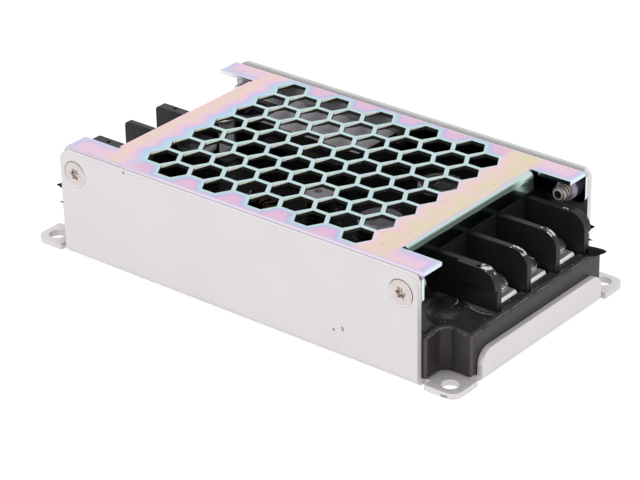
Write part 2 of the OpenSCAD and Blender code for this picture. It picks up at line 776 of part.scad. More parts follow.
// Split ring under the screw head
module lock_washer(i) {
    color([0.72, 0.72, 0.7]) translate([clamp_x, pole_y(i), washer_z]) difference() {
        cylinder(washer_t, d = washer_d);
        translate([0, 0, -over]) cylinder(washer_t + 2 * over, r = thread_r + clamp_fit);
        translate([0, -washer_split / 2, -over]) cube([washer_d, washer_split, washer_t + 2 * over]);
    }
}

// Pan-head screw with a cross recess and a slot
module clamp_screw(i) {
    head_r = clamp_head_d / 2;
    color([0.8, 0.79, 0.76]) translate([clamp_x, pole_y(i), head_z]) difference() {
        union() {
            rotate_extrude() {
                square([head_r, clamp_head_h - clamp_head_r]);
                square([head_r - clamp_head_r, clamp_head_h]);
                translate([head_r - clamp_head_r, clamp_head_h - clamp_head_r]) intersection() {
                    circle(clamp_head_r);
                    square(clamp_head_r);
                }
            }
            translate([0, 0, -clamp_screw_l]) cylinder(clamp_screw_l, r = thread_r);
        }
        for (a = [0, 90]) rotate(a) translate([-cross_l / 2, -cross_w / 2, clamp_head_h - cross_h])
            cube([cross_l, cross_w, cross_h + over]);
        translate([-head_r, -slot_w / 2, clamp_head_h - slot_h]) cube([2 * head_r, slot_w, slot_h + over]);
    }
}

// Ferrite core: a plate above and below the coil, two outer legs and a round middle leg
module transformer_core() {
    color([0.3, 0.3, 0.31]) translate([trafo_x, trafo_y, 0]) {
        for (z = [core_z, window_z1]) translate([-trafo_l / 2, -core_w / 2, z])
            cube([trafo_l, core_w, core_t]);
        for (x = [-trafo_l / 2, trafo_l / 2 - core_leg_t]) translate([x, -core_w / 2, core_z])
            cube([core_leg_t, core_w, trafo_top_z - core_z]);
        translate([0, 0, core_z]) cylinder(trafo_top_z - core_z, d = core_leg_d);
    }
}

// Bobbin: a foot on the board, two rails, and a tube between two flanges round the middle leg
module transformer_bobbin() {
    rail_t = (trafo_w - core_w) / 2 - pot_fit;
    flange_l = trafo_l - 2 * (core_leg_t + pot_fit);
    color([0.1, 0.1, 0.1]) translate([trafo_x, trafo_y, 0]) {
        translate([-trafo_l / 2, -trafo_w / 2, board_top_z]) cube([trafo_l, trafo_w, foot_t]);
        for (s = [0, 1]) mirror([0, s, 0])
            translate([-flange_l / 2, -trafo_w / 2, board_top_z])
                cube([flange_l, rail_t, window_z0 + pot_fit + bobbin_t - board_top_z]);
        difference() {
            union() {
                for (z = [window_z0 + pot_fit, window_z1 - pot_fit - bobbin_t])
                    translate([-flange_l / 2, -trafo_w / 2, z]) cube([flange_l, trafo_w, bobbin_t]);
                translate([0, 0, window_z0 + pot_fit])
                    cylinder(window_z1 - window_z0 - 2 * pot_fit, r = coil_r);
            }
            translate([0, 0, window_z0 - over])
                cylinder(window_z1 - window_z0 + 2 * over, d = core_leg_d + 2 * pot_fit);
        }
    }
}

module transformer_winding() {
    coil_z = window_z0 + pot_fit + bobbin_t;
    coil_h = window_z1 - window_z0 - 2 * (pot_fit + bobbin_t);
    color([0.1, 0.09, 0.08]) translate([trafo_x, trafo_y, coil_z]) difference() {
        cylinder(coil_h, r = coil_out_r);
        translate([0, 0, -over]) cylinder(coil_h + 2 * over, r = coil_r + pot_fit);
    }
}

// Aluminium can with a rolled groove near its foot and a scored top
module capacitor_can(at, d) {
    r = d / 2;
    height = can_top_z - board_top_z;
    translate([at[0], at[1], board_top_z]) difference() {
        rotate_extrude() difference() {
            union() {
                square([r, height - can_edge_r]);
                square([r - can_edge_r, height]);
                translate([r - can_edge_r, height - can_edge_r]) intersection() {
                    circle(can_edge_r);
                    square(can_edge_r);
                }
            }
            translate([r + can_groove_r / 2, can_groove_z]) circle(can_groove_r);
        }
        for (a = [0, 90]) rotate(a) translate([-can_score_l / 2, -can_score / 2, height - can_score])
            cube([can_score_l, can_score, 2 * can_score]);
    }
}

module input_capacitors() {
    color([0.2, 0.2, 0.22]) for (at = input_cans) capacitor_can(at, input_can_d);
}

module output_capacitors() {
    color([0.2, 0.2, 0.22]) for (at = output_cans) capacitor_can(at, output_can_d);
}

// Drum core: two flanges on a post, wound between them
module input_choke_core() {
    color([0.25, 0.25, 0.26]) translate([drum_at[0], drum_at[1], board_top_z]) {
        cylinder(drum_flange_t, d = drum_d);
        cylinder(drum_h, d = drum_post_d);
        translate([0, 0, drum_h - drum_flange_t]) cylinder(drum_flange_t, d = drum_d);
    }
}

module input_choke_winding() {
    coil_h = drum_h - 2 * drum_flange_t;
    color([0.72, 0.42, 0.22])
        translate([drum_at[0], drum_at[1], board_top_z + drum_flange_t]) difference() {
            cylinder(coil_h, d = drum_coil_d);
            translate([0, 0, -over]) cylinder(coil_h + 2 * over, d = drum_post_d + 2 * pot_fit);
        }
}

// Ring core lying flat, held up from the board by its turns of wire
module output_choke_core() {
    color([0.35, 0.37, 0.2])
        translate([ring_at[0], ring_at[1], board_top_z + wire_d]) difference() {
            cylinder(ring_h, d = ring_d);
            translate([0, 0, -over]) cylinder(ring_h + 2 * over, d = ring_d - 2 * ring_w);
        }
}

module output_choke_winding() {
    turn_l = ring_w + 2 * (wire_d + pot_fit);
    color([0.72, 0.42, 0.22]) translate([ring_at[0], ring_at[1], board_top_z])
        for (i = [0:ring_turns - 1]) rotate(i * 360 / ring_turns)
            translate([ring_d / 2 - ring_w - wire_d - pot_fit, -wire_d / 2, 0]) difference() {
                cube([turn_l, wire_d, ring_h + 2 * wire_d]);
                translate([wire_d, -over, wire_d])
                    cube([turn_l - 2 * wire_d, wire_d + 2 * over, ring_h]);
            }
}

// Flat power package: a moulded body on a metal tab
module power_package(at) {
    on_board(at, power_tab, 0);
    on_board(at, power_body, 0);
}

module power_transistors() {
    color([0.12, 0.12, 0.12]) for (at = transistors_at) power_package(at);
}

module rectifier_diodes() {
    color([0.12, 0.12, 0.12]) for (at = diodes_at) power_package(at);
}

module control_chip() {
    color([0.12, 0.12, 0.12]) on_board(chip_at, chip_size, 0);
}

module optocoupler() {
    color([0.9, 0.9, 0.88]) on_board(opto_at, opto_size, 0);
}

module fuse() {
    color([0.55, 0.4, 0.25]) on_board(fuse_at, fuse_size, 0);
}

module varistor() {
    color([0.15, 0.25, 0.55]) round_on_board(varistor_at, varistor_d, varistor_h, 0);
}

chassis();
top_cover();
cover_screws();
potting_tray();
potting_compound();
circuit_board();
input_terminal_block();
output_terminal_block();
input_terminal_tabs();
output_terminal_tabs();
for (i = [0:input_poles - 1]) {
    at_input() clamp_plate(i);
    at_input() lock_washer(i);
    at_input() clamp_screw(i);
}
for (i = [0:output_poles - 1]) {
    at_output() clamp_plate(i);
    at_output() lock_washer(i);
    at_output() clamp_screw(i);
}
transformer_core();
transformer_bobbin();
transformer_winding();
input_capacitors();
output_capacitors();
input_choke_core();
input_choke_winding();
output_choke_core();
output_choke_winding();
power_transistors();
rectifier_diodes();
control_chip();
optocoupler();
fuse();
varistor();
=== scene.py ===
# %% [markdown]
# # An enclosed dc-dc converter
# A folded light-grey case holds a potted circuit board. A thin plated cover with hexagonal vents
# closes it, and a black barrier terminal block at each end takes the wires.
# The solids come from a packed CAD model, in metres, and are never moved. This lesson gives each of
# them its finish, and makes again the few pieces whose real form is softer or finer than the solids:
# the potting and its tray, the terminal blocks, the screws, the washers and the windings.

# %% Load the packed solids
import math
import bmesh
import bpy
import numpy as np
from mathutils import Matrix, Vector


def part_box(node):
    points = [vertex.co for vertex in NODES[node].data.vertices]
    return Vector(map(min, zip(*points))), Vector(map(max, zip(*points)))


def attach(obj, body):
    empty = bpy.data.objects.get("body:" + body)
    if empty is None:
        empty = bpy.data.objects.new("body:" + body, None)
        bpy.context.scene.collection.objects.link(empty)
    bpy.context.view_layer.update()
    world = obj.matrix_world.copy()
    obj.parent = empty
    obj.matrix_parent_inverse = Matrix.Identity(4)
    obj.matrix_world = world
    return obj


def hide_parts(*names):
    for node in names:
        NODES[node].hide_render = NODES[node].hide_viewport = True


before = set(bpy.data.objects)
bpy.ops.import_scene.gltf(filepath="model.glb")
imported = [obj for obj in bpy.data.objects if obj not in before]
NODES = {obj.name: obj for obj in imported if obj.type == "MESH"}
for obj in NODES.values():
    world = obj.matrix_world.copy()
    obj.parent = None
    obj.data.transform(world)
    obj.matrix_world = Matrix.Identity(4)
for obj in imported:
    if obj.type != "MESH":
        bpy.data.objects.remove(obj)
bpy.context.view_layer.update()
MM = 0.001


def box_mm(node):
    """Lowest and highest corner of a node, in millimetres."""
    low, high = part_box(node)
    return np.array(low) / MM, np.array(high) / MM


# %% [markdown]
# ## Camera
# A long lens looks at the case from the front right, a little from above. Its place and lens were
# fitted to the straight edges of the case, so that each edge of the solids lies where it should.

# %% Camera
CAMERA_AT = (0.30055, -0.36547, 0.25011)
CAMERA_TURN_DEG = (62.616, 0.9986, 39.018)
LENS_MM = 150.557
SENSOR_MM = 36.0

scene = bpy.context.scene
scene.view_settings.view_transform = "Standard"
lens = bpy.data.cameras.new("camera")
lens.lens = LENS_MM
lens.sensor_width = SENSOR_MM
lens.clip_start = 0.01
lens.clip_end = 10.0
camera = bpy.data.objects.new("camera", lens)
camera.location = CAMERA_AT
camera.rotation_euler = [math.radians(a) for a in CAMERA_TURN_DEG]
scene.collection.objects.link(camera)
scene.camera = camera
print("camera at", CAMERA_AT)

# %% [markdown]
# ## Numbers that vary over a surface
# A finish is worked out from the place on the object, in millimetres. Node editors make such sums
# out of Math nodes, which is hard to read, so a small class lets Python's own signs add the nodes.


# %% Colours and nodes
def light(colour):
    """A colour of three parts, 0 to 255 as on a screen, turned into the light it stands for. A colour
    of four parts is light already."""
    if len(colour) == 4:
        return colour
    parts = np.array(colour) / 255.0
    parts = np.where(parts <= 0.04045, parts / 12.92, ((parts + 0.055) / 1.055) ** 2.4)
    return (*parts.tolist(), 1.0)


def fill(tree, place, value):
    """Link a field or a socket to a node's input, or set a number or colour there; None does nothing."""
    value = getattr(value, "socket", value)
    if isinstance(value, bpy.types.NodeSocket):
        tree.links.new(value, place)
    elif value is not None:
        place.default_value = light(value) if place.type == "RGBA" else value


def add_node(tree, kind, *values, **settings):
    """Add a shader node with its settings, and fill its inputs in their order."""
    node = tree.nodes.new("ShaderNode" + kind)
    for key, value in settings.items():
        setattr(node, key, value)
    for place, value in zip(node.inputs, values):
        fill(tree, place, value)
    return node


print("mid grey on a screen is light of", round(light((128, 128, 128))[0], 3))


# %% Fields
class Field:
    """A number that varies over a surface. Sums with it add Math nodes to its finish."""

    def __init__(self, tree, socket):
        self.tree = tree
        self.socket = socket

    def op(self, operation, *others):
        return Field(self.tree, add_node(self.tree, "Math", self, *others, operation=operation).outputs[0])

    def __add__(self, other):
        return self.op("ADD", other)

    def __sub__(self, other):
        return self.op("SUBTRACT", other)

    def __mul__(self, other):
        return self.op("MULTIPLY", other)

    def __abs__(self):
        return self.op("ABSOLUTE")

    def low(self, other):
        return self.op("MINIMUM", other)

    def high(self, other):
        return self.op("MAXIMUM", other)

    def within(self, least, most):
        return self.high(least).low(most)

    def step(self, start, end):
        """0 at start, 1 at end, with a smooth rise between them; start may lie above end."""
        ends = (start, end, 0.0, 1.0) if start < end else (end, start, 1.0, 0.0)
        node = add_node(self.tree, "MapRange", self, *ends, interpolation_type="SMOOTHSTEP")
        return Field(self.tree, node.outputs["Result"])


def hypot(across, along):
    """Length of a way with two square parts."""
    return (across * across + along * along).op("SQRT")


print("fields know", [name for name in vars(Field) if not name.startswith("_")])


# %% Patterns
class Patterns:
    """Fields that depend on the place or on the face. x, y and z are the place in millimetres."""

    def __init__(self, tree):
        self.tree = tree
        self.place = add_node(tree, "TexCoord").outputs["Object"]
        split = add_node(tree, "SeparateXYZ", self.place)
        self.x, self.y, self.z = (Field(tree, out) * (1 / MM) for out in split.outputs)

    def field(self, kind, output, *values, **settings):
        """One output of a new node, as a field."""
        return Field(self.tree, add_node(self.tree, kind, *values, **settings).outputs[output])

    def stretched(self, size_mm):
        """The place with each axis counted in its own unit, for patterns longer one way."""
        scale = [1 / (MM * s) for s in size_mm]
        return add_node(self.tree, "Mapping", self.place, None, None, scale).outputs["Vector"]

    def noise(self, size_mm, detail=3.0, sharp=0.5):
        """Cloudy noise from 0 to 1, one cloud about size_mm across; a triple gives each axis its size."""
        sizes = size_mm if isinstance(size_mm, tuple) else (size_mm,) * 3
        return self.field("TexNoise", 0, self.stretched(sizes), None, 1.0, detail, sharp)

    def dashes(self, size_mm, share, fill_share):
        """Scattered marks: in a share of the cells, 1 near the cell's middle and 0 elsewhere."""
        cells = add_node(self.tree, "TexVoronoi", self.stretched(size_mm), None, 1.0)
        chosen = self.field("SeparateColor", 0, cells.outputs["Color"]).step(share + 0.01, share)
        return Field(self.tree, cells.outputs["Distance"]).step(fill_share, fill_share * 0.6) * chosen

    def near(self, places, radius_mm):
        """1 at any of the places, each an x, y and z in millimetres, falling to 0 at the radius."""
        gaps = [self.field("VectorMath", "Value", self.place, [v * MM for v in place], operation="DISTANCE")
                for place in places]
        gap = gaps[0]
        for other in gaps[1:]:
            gap = gap.low(other)
        return (gap * (1 / MM)).step(radius_mm, radius_mm * 0.4)

    def edges(self, radius_mm):
        """0 on flat ground, rising towards 1 where an edge is nearer than the radius."""
        rounded = add_node(self.tree, "Bevel", radius_mm * MM, samples=8).outputs[0]
        ground = add_node(self.tree, "NewGeometry").outputs["Normal"]
        return self.field("VectorMath", "Value", rounded, ground, operation="DOT_PRODUCT").step(0.999, 0.85)

    def facing(self, direction):
        """How squarely a face looks in a direction: 1 straight along it, 0 across it."""
        face = add_node(self.tree, "NewGeometry").outputs["True Normal"]
        return self.field("VectorMath", "Value", face, direction, operation="DOT_PRODUCT")


print("patterns are", [name for name in vars(Patterns) if not name.startswith("_")])


# %% Finishes
class Finish(Patterns):
    """A surface's colour, gloss and fine relief. Its tone is painted in layers, one over the other."""

    def __init__(self, name, colour, rough, metal=0.0, mirror=0.5):
        self.material = bpy.data.materials.new(name)
        self.material.use_nodes = True
        self.material.diffuse_color = light(colour)
        super().__init__(self.material.node_tree)
        self.shader = self.tree.nodes["Principled BSDF"]
        self.tone = None
        self.put(Base_Color=colour, Roughness=rough, Metallic=metal, Specular_IOR_Level=mirror)

    def put(self, **inputs):
        """Fill inputs of the shader; an underscore stands for a space in a name."""
        for name, value in inputs.items():
            fill(self.tree, self.shader.inputs[name.replace("_", " ")], value)

    def ramp(self, field, stops):
        """A colour that runs through the stops, each a place from 0 to 1 and a colour."""
        node = add_node(self.tree, "ValToRGB", field)
        marks = node.color_ramp.elements
        while len(marks) < len(stops):
            marks.new(0.5)
        for mark, (at, colour) in zip(marks, stops):
            mark.position = at
            mark.color = light(colour)
        return node.outputs["Color"]

    def mix(self, field, first, second):
        """first where the field is 0, second where it is 1; each a colour or a colour's socket."""
        node = add_node(self.tree, "Mix", field, data_type="RGBA")
        for place, colour in zip([s for s in node.inputs if s.type == "RGBA"], (first, second)):
            fill(self.tree, place, colour)
        return [s for s in node.outputs if s.type == "RGBA"][0]

    def blend(self, field, first, second):
        """Start the tone from two colours."""
        self.tone = self.mix(field, first, second)

    def paint(self, field, colour):
        """Lay a colour over the tone, where and as thickly as the field says."""
        self.tone = self.mix(field, self.tone, colour)

    def set(self, rough, relief, relief_mm, round_mm=0.0, metal=None, mirror=None):
        """Join tone, gloss and relief to the shader. round_mm rounds the edges in the shading only."""
        bump = add_node(self.tree, "Bump")
        fill(self.tree, bump.inputs["Distance"], relief_mm * MM)
        fill(self.tree, bump.inputs["Height"], relief)
        if round_mm:
            rounded = add_node(self.tree, "Bevel", round_mm * MM, samples=6)
            fill(self.tree, bump.inputs["Normal"], rounded.outputs[0])
        self.put(Base_Color=self.tone, Roughness=rough, Metallic=metal, Specular_IOR_Level=mirror,
                 Normal=bump.outputs[0])
        return self


def dress(finish, *nodes):
    """Give CAD nodes a finish."""
    for node in nodes:
        NODES[node].data.materials.clear()
        NODES[node].data.materials.append(finish.material)
    print(finish.material.name, "on", len(nodes), "nodes")


print("finishes can", [name for name in vars(Finish) if not name.startswith("_")])

# %% [markdown]
# ## The case
# The case is a light satin sheet, nearly white, with a fine grain and a few specks. Its cut edges are
# a little darker than its faces, because the cut goes through the coat. The top edge of the back wall
# is painted grey-green, a painted reflection. The edges stay crisp in the solids, so a bevel in the
# shading rounds them by a tenth of a millimetre.

# %% Case finish
SHEET_T = 1.2
UP = (0.0, 0.0, 1.0)
_, case_high = box_mm("chassis")
CASE_TOP = case_high[2]
SEAM_Y = case_high[1] - SHEET_T

case_metal = Finish("case_metal", (220, 216, 218), 0.4, 0.5)
case_side = abs(case_metal.y)
case_grain = case_metal.noise(0.12, 2.0)
cut = case_metal.facing(UP).step(0.8, 0.95) * case_metal.z.step(CASE_TOP - 1.0, CASE_TOP)
seam = case_side.step(SEAM_Y + 0.28, SEAM_Y + 0.12)
case_metal.blend(case_metal.noise(14.0, 2.0), (217, 213, 215), (225, 221, 223))
case_metal.paint(case_metal.edges(0.2) * 0.35, (176, 174, 176))
# The back wall's top edge is painted grey-green: a painted reflection.
case_metal.paint(cut * case_metal.y.step(-1.0, 1.0) * 0.8, (190, 194, 190))
case_metal.paint(cut * seam * 0.8, (104, 100, 104))
case_metal.paint(case_metal.dashes((2.6, 2.6, 2.6), 0.06, 0.07) * 0.5, (120, 116, 118))
print("case top", CASE_TOP, "seam at", SEAM_Y)

# %% [markdown]
# An insulating film lies on the inner faces of the side walls and makes them dark; past the ends of
# the cover it is painted lighter, as painted light. A few knocks left small dark marks on the front
# wall and on an ear.

# %% Film and marks
FILM_FROM_Y = 25.0
FILM_FOOT = 1.3
FILM_DROP = 1.6
FILM_LIT_X = (34.0, 39.0)
WALL_MARKS = ((24.9, -28.0, 5.6), (27.0, -28.0, 6.6), (27.1, -28.0, 6.25), (-27.3, -28.0, 22.8))
EAR_MARKS = ((50.0, -28.0, 0.3), (50.5, -28.0, 0.35), (51.0, -27.9, 0.45))


def inner_sides(finish, start):
    """1 on faces that lie past start on either side and look at the middle."""
    back = finish.y.step(start, start + 1.0) * finish.facing((0.0, -1.0, 0.0)).step(0.8, 0.95)
    front = finish.y.step(-start, -start - 1.0) * finish.facing((0.0, 1.0, 0.0)).step(0.8, 0.95)
    return back.high(front)


film = inner_sides(case_metal, FILM_FROM_Y) * case_side.step(SEAM_Y + 0.4, SEAM_Y + 0.2)
film = film * case_metal.z.step(FILM_FOOT, FILM_FOOT + 0.3)
film = film * case_metal.z.step(CASE_TOP - FILM_DROP, CASE_TOP - FILM_DROP - 0.4)
# Past the ends of the cover the film is painted lighter: painted light.
film_and_painted_light = case_metal.mix(abs(case_metal.x).step(*FILM_LIT_X), (30, 29, 31), (96, 92, 95))
case_metal.paint(film, film_and_painted_light)
case_metal.paint(case_metal.near(WALL_MARKS, 0.42) * 0.75, (104, 100, 103))
case_metal.paint(case_metal.near(EAR_MARKS, 0.4) * 0.7, (96, 92, 94))
case_metal.set(case_grain * 0.12 + 0.34, case_grain, 0.004, 0.12, metal=film * -0.5 + 0.5)
dress(case_metal, "chassis")

# %% [markdown]
# ## The plated cover
# The cover is steel with a passivated zinc coat. The coat is thinner near each cut edge, so its
# interference colours follow the holes and edges like contour lines: pale cyan at an edge, then
# lavender, then pink. Only the broad ground between the vents and the notches is thick enough to turn
# beige. The distance to the nearest hole or edge can be worked out from the vent pattern itself, and
# a colour ramp then paints the contours. Each hole belongs to a column and a row; the two columns
# next to a point are enough to find the nearest hole.

# %% Distance to the nearest edge of the cover
HEX_FLATS = 5.7
HEX_PITCH = HEX_FLATS + 0.9
HEX_STEP = HEX_PITCH * math.sqrt(3) / 2
VENT_COLUMNS = 10
VENT_ROWS = 7
NOTCH_DEPTH = 8.0
ARM_WIDTH = 7.4
cover_low, cover_high = box_mm("top_cover")
COVER_TOP = cover_high[2]
NOTCH_X = cover_high[0] - NOTCH_DEPTH
NOTCH_Y = case_high[1] - ARM_WIDTH

plating = Finish("cover_plating", (222, 206, 214), 0.3, 1.0)


def to_vent_column(column):
    """Distance from a vent hole in one column, and the way along Y to the hole's middle. A hexagon's
    distance is the largest of its three half-widths."""
    across = abs(plating.x - (column - (VENT_COLUMNS - 1) / 2) * HEX_STEP)
    first_row = column.op("MODULO", 2.0) * -0.5 + 0.25 + (VENT_ROWS - 1) / 2
    row = (first_row - plating.y * (1 / HEX_PITCH)).op("ROUND").within(0.0, VENT_ROWS - 1.0)
    along = abs(plating.y - (first_row - row) * HEX_PITCH)
    slant = across * math.sin(math.radians(60)) + along * 0.5
    return slant.high(along) - HEX_FLATS / 2, along


def to_vent():
    """Distance to the nearest vent hole, and the way along Y to the middle of the hole ahead in X."""
    before = (plating.x * (1 / HEX_STEP) + (VENT_COLUMNS - 1) / 2).op("FLOOR")
    columns = [(before + k).within(0.0, VENT_COLUMNS - 1.0) for k in (0.0, 1.0)]
    (behind, _), (ahead, along) = [to_vent_column(column) for column in columns]
    return behind.low(ahead), along


def to_plate_edge():
    """Distance to the nearest notch, arm end or lower edge of the cover."""
    from_end = abs(plating.x) * -1.0
    arms = (from_end + cover_high[0]).low(abs(plating.y) - NOTCH_Y)
    return (from_end + NOTCH_X).high(arms).low(plating.z - cover_low[2])


vent_mm, vent_y = to_vent()
plate_mm = to_plate_edge()
print("vents", VENT_COLUMNS, "by", VENT_ROWS, "notch at", NOTCH_X)

# %% [markdown]
# Each row of stops below is one walk from an edge to the open ground: among the vents, over the broad
# ground at the left and at the right end, and on the four arms beside the notches.

# %% Contour colours
CONTOUR_MM = 4.0
LEFT_REACH_MM = 6.6
VENT_CONTOURS = ((0.0, (200, 224, 222)), (0.11, (194, 219, 226)), (0.2, (182, 206, 230)),
                 (0.32, (198, 186, 224)), (0.46, (224, 186, 218)), (1.0, (230, 190, 212)))
LEFT_CONTOURS = ((0.0, (200, 224, 224)), (0.1, (188, 219, 232)), (0.25, (184, 208, 236)),
                 (0.38, (212, 195, 234)), (0.5, (236, 200, 226)), (0.68, (239, 205, 210)),
                 (0.84, (236, 212, 196)), (1.0, (238, 206, 206)))
RIGHT_CONTOURS = ((0.0, (228, 224, 230)), (0.1, (234, 210, 226)), (0.26, (238, 206, 212)),
                  (0.5, (234, 210, 196)), (1.0, (228, 214, 186)))
PLATE_CONTOURS = ((0.0, (212, 226, 234)), (0.14, (198, 206, 233)), (0.3, (212, 194, 230)),
                  (0.52, (232, 200, 226)), (1.0, (236, 204, 216)))
streak = plating.noise((1.2, 9.0, 1.2), 2.0) - 0.5
wander = (plating.noise(9.0, 2.0) - 0.5) * 1.6 + streak * 0.6


def contours(distance, stops, reach=CONTOUR_MM):
    """Colours that follow an edge up to a reach, with a wandering pace away from it."""
    return plating.ramp((distance + wander * distance.step(0.3, 2.0)) * (1 / reach), stops)


print("contours reach", CONTOUR_MM, "and at the left", LEFT_REACH_MM)

# %% Cover colours
LEFT_VENTS_X = -27.5
GROUND_X = (26.6, 28.4)
ARM_X = (33.5, 36.5)
LIP_LIT_Y = (17.0, 12.0)
side_x, side_y = abs(plating.x), abs(plating.y)
to_right = plating.x.step(-5.0, 5.0)
left_mm = vent_mm * 0.6 + (plating.x * -1.0 + LEFT_VENTS_X).high(0.0) * 0.4
ground = plating.mix(to_right, contours(left_mm, LEFT_CONTOURS, LEFT_REACH_MM),
                     contours(vent_mm, RIGHT_CONTOURS))
patches = plating.noise(4.5, 2.0).step(0.42, 0.62) * vent_mm.step(1.0, 2.5)
ground = plating.mix(patches * 0.5, ground, (240, 204, 206))
beyond = side_x.step(*GROUND_X)
plating.blend(beyond, contours(vent_mm, VENT_CONTOURS), ground)
arms = side_x.step(*ARM_X) * side_y.step(NOTCH_Y - 1.5, NOTCH_Y + 0.8)
near_notch = to_right * beyond * (plate_mm + wander).step(2.2, 0.8)
plating.paint(arms.high(near_notch), contours(plate_mm, PLATE_CONTOURS))
# The right notch's fold is painted pale cyan, partly the thin coat's colour and partly a painted highlight;
# the lip face below it is painted dark, a painted reflection of the black block.
fold = plating.x.step(NOTCH_X - 1.4, NOTCH_X - 0.8) * side_y.step(NOTCH_Y, NOTCH_Y - 0.4)
plating.paint(fold * 0.85, (198, 226, 214))
lip_painted_dark = fold * plating.facing(UP).step(0.92, 0.66) * plating.y.step(*LIP_LIT_Y)
plating.paint(lip_painted_dark * 0.85, (40, 44, 44))
print("broad ground past", GROUND_X, "arms past", ARM_X)

# %% [markdown]
# Along the long sides the cover turns down into its flanges. The fold catches the light as a pale pink
# line, a painted highlight that fades towards the left end, and is darker just above the seam. At the
# back the fold is painted grey-green and dull, a painted reflection. The inner faces of the flanges see
# only the dark inside, so they are painted dark as a painted reflection, and left of the middle they
# are painted pale as painted light. Each flange has a drawn collar for the thread of a cover screw.

# %% Cover folds and flanges
FLANGE_FROM_Y = 24.0
EAR_LENGTH = 8.5
SCREW_X = case_high[0] - EAR_LENGTH - 3.8
COLLAR_Z = COVER_TOP - 4.45
COLLAR_R = 2.5
COLLAR_FACE_Y = 25.75
BEND_Y = cover_high[1] - SHEET_T
below = plating.z * -1.0 + COVER_TOP
bend = side_y.step(BEND_Y - 0.2, BEND_Y + 0.3) * below.step(1.3, 1.1)
back_bend = bend * plating.y.step(0.0, 1.0)
# A pale pink line of painted highlight runs along the fold, fainter towards the left end.
bright = bend * (plating.x.step(-36.0, -16.0) * 0.8 + 0.2)
plating.paint(bend * 0.8, (214, 202, 226))
plating.paint(bright * below.step(0.03, 0.12) * below.step(0.5, 0.3) * 0.8, (240, 226, 246))
plating.paint(bend * below.step(0.45, 0.7) * 0.6, (120, 110, 124))
# The back fold is painted grey-green: a painted reflection.
plating.paint(back_bend * below.step(0.04, 0.1), (196, 200, 196))
inward = inner_sides(plating, FLANGE_FROM_Y)
painted_lit_inside = inward * plating.x.step(2.0, -4.0)
# The inner faces of the flanges are painted dark as a painted reflection, and pale on the left as painted
# light.
plating.paint(inward * 0.9, (34, 33, 36))
plating.paint(painted_lit_inside, (206, 204, 208))
collar = hypot(side_x - SCREW_X, plating.z - COLLAR_Z).step(COLLAR_R, COLLAR_R - 0.3)
collar = collar * side_y.step(COLLAR_FACE_Y, COLLAR_FACE_Y - 0.15)
plating.paint(collar, (202, 198, 224))
print("flanges: fold at", BEND_Y, "collars at", SCREW_X, COLLAR_Z)

# %% [markdown]
# Inside a vent hole the coat is thin and dull. The holes are punched. The light that falls in from the
# right is painted as a pale line on one of the six walls: short where the neighbouring wall shades it
# and longer away from it. The other walls are painted dark as painted shade. Handling left fine
# scratches and a few dark dots.

# %% Cover finish
WALL_LIT = (0.866, -0.5, 0.0)
WALL_LIT_LEAST = 0.08
WALL_LIT_SLOPE = 0.16
wall = vent_mm.step(0.2, 0.1) * plating.z.step(COVER_TOP - 0.02, COVER_TOP - 0.05)
lit_depth = vent_y * -WALL_LIT_SLOPE + (WALL_LIT_LEAST + WALL_LIT_SLOPE * HEX_FLATS / 2)
lit_depth = lit_depth * (plating.x.step(24.0, -8.0) * 0.5 + 0.5)
lit = wall * (plating.z + lit_depth).step(COVER_TOP - 0.04, COVER_TOP + 0.04)
# The vent walls are painted dark as painted shade, and one wall gets a pale line of painted light.
plating.paint(wall, (34, 36, 34))
plating.paint(lit * plating.facing(WALL_LIT).step(0.7, 0.9), (246, 247, 226))
scratches = plating.dashes((0.16, 3.2, 3.0), 0.016, 0.42)
plating.paint(scratches * 0.5, (110, 100, 104))
plating.paint(plating.dashes((3.4, 3.4, 3.4), 0.07, 0.05) * 0.7, (70, 64, 66))
pores = plating.noise(0.25, 2.0)
# The metal is dulled on the vent walls and the collars, and under the painted light and reflections on the
# inner faces and the back fold.
matte_and_painted_light = wall.high(painted_lit_inside).high(collar * 0.7).high(back_bend * 0.9)
plating.set(pores * 0.06 + 0.15 + scratches * 0.2 + wall * 0.3, pores, 0.002, 0.1,
            metal=matte_and_painted_light * -0.95 + 1.0)
dress(plating, "top_cover")

# %% [markdown]
# ## Plastics
# Both terminal blocks and the tray are charcoal mouldings with a satin skin: dark on their faces,
# paler along worn edges. One function makes them all, and a few extra values give a piece its own
# marks: pale spots on the tops of the barriers painted as glints, pale gate dots, and a painted sheen
# on the tray's rim and corners.


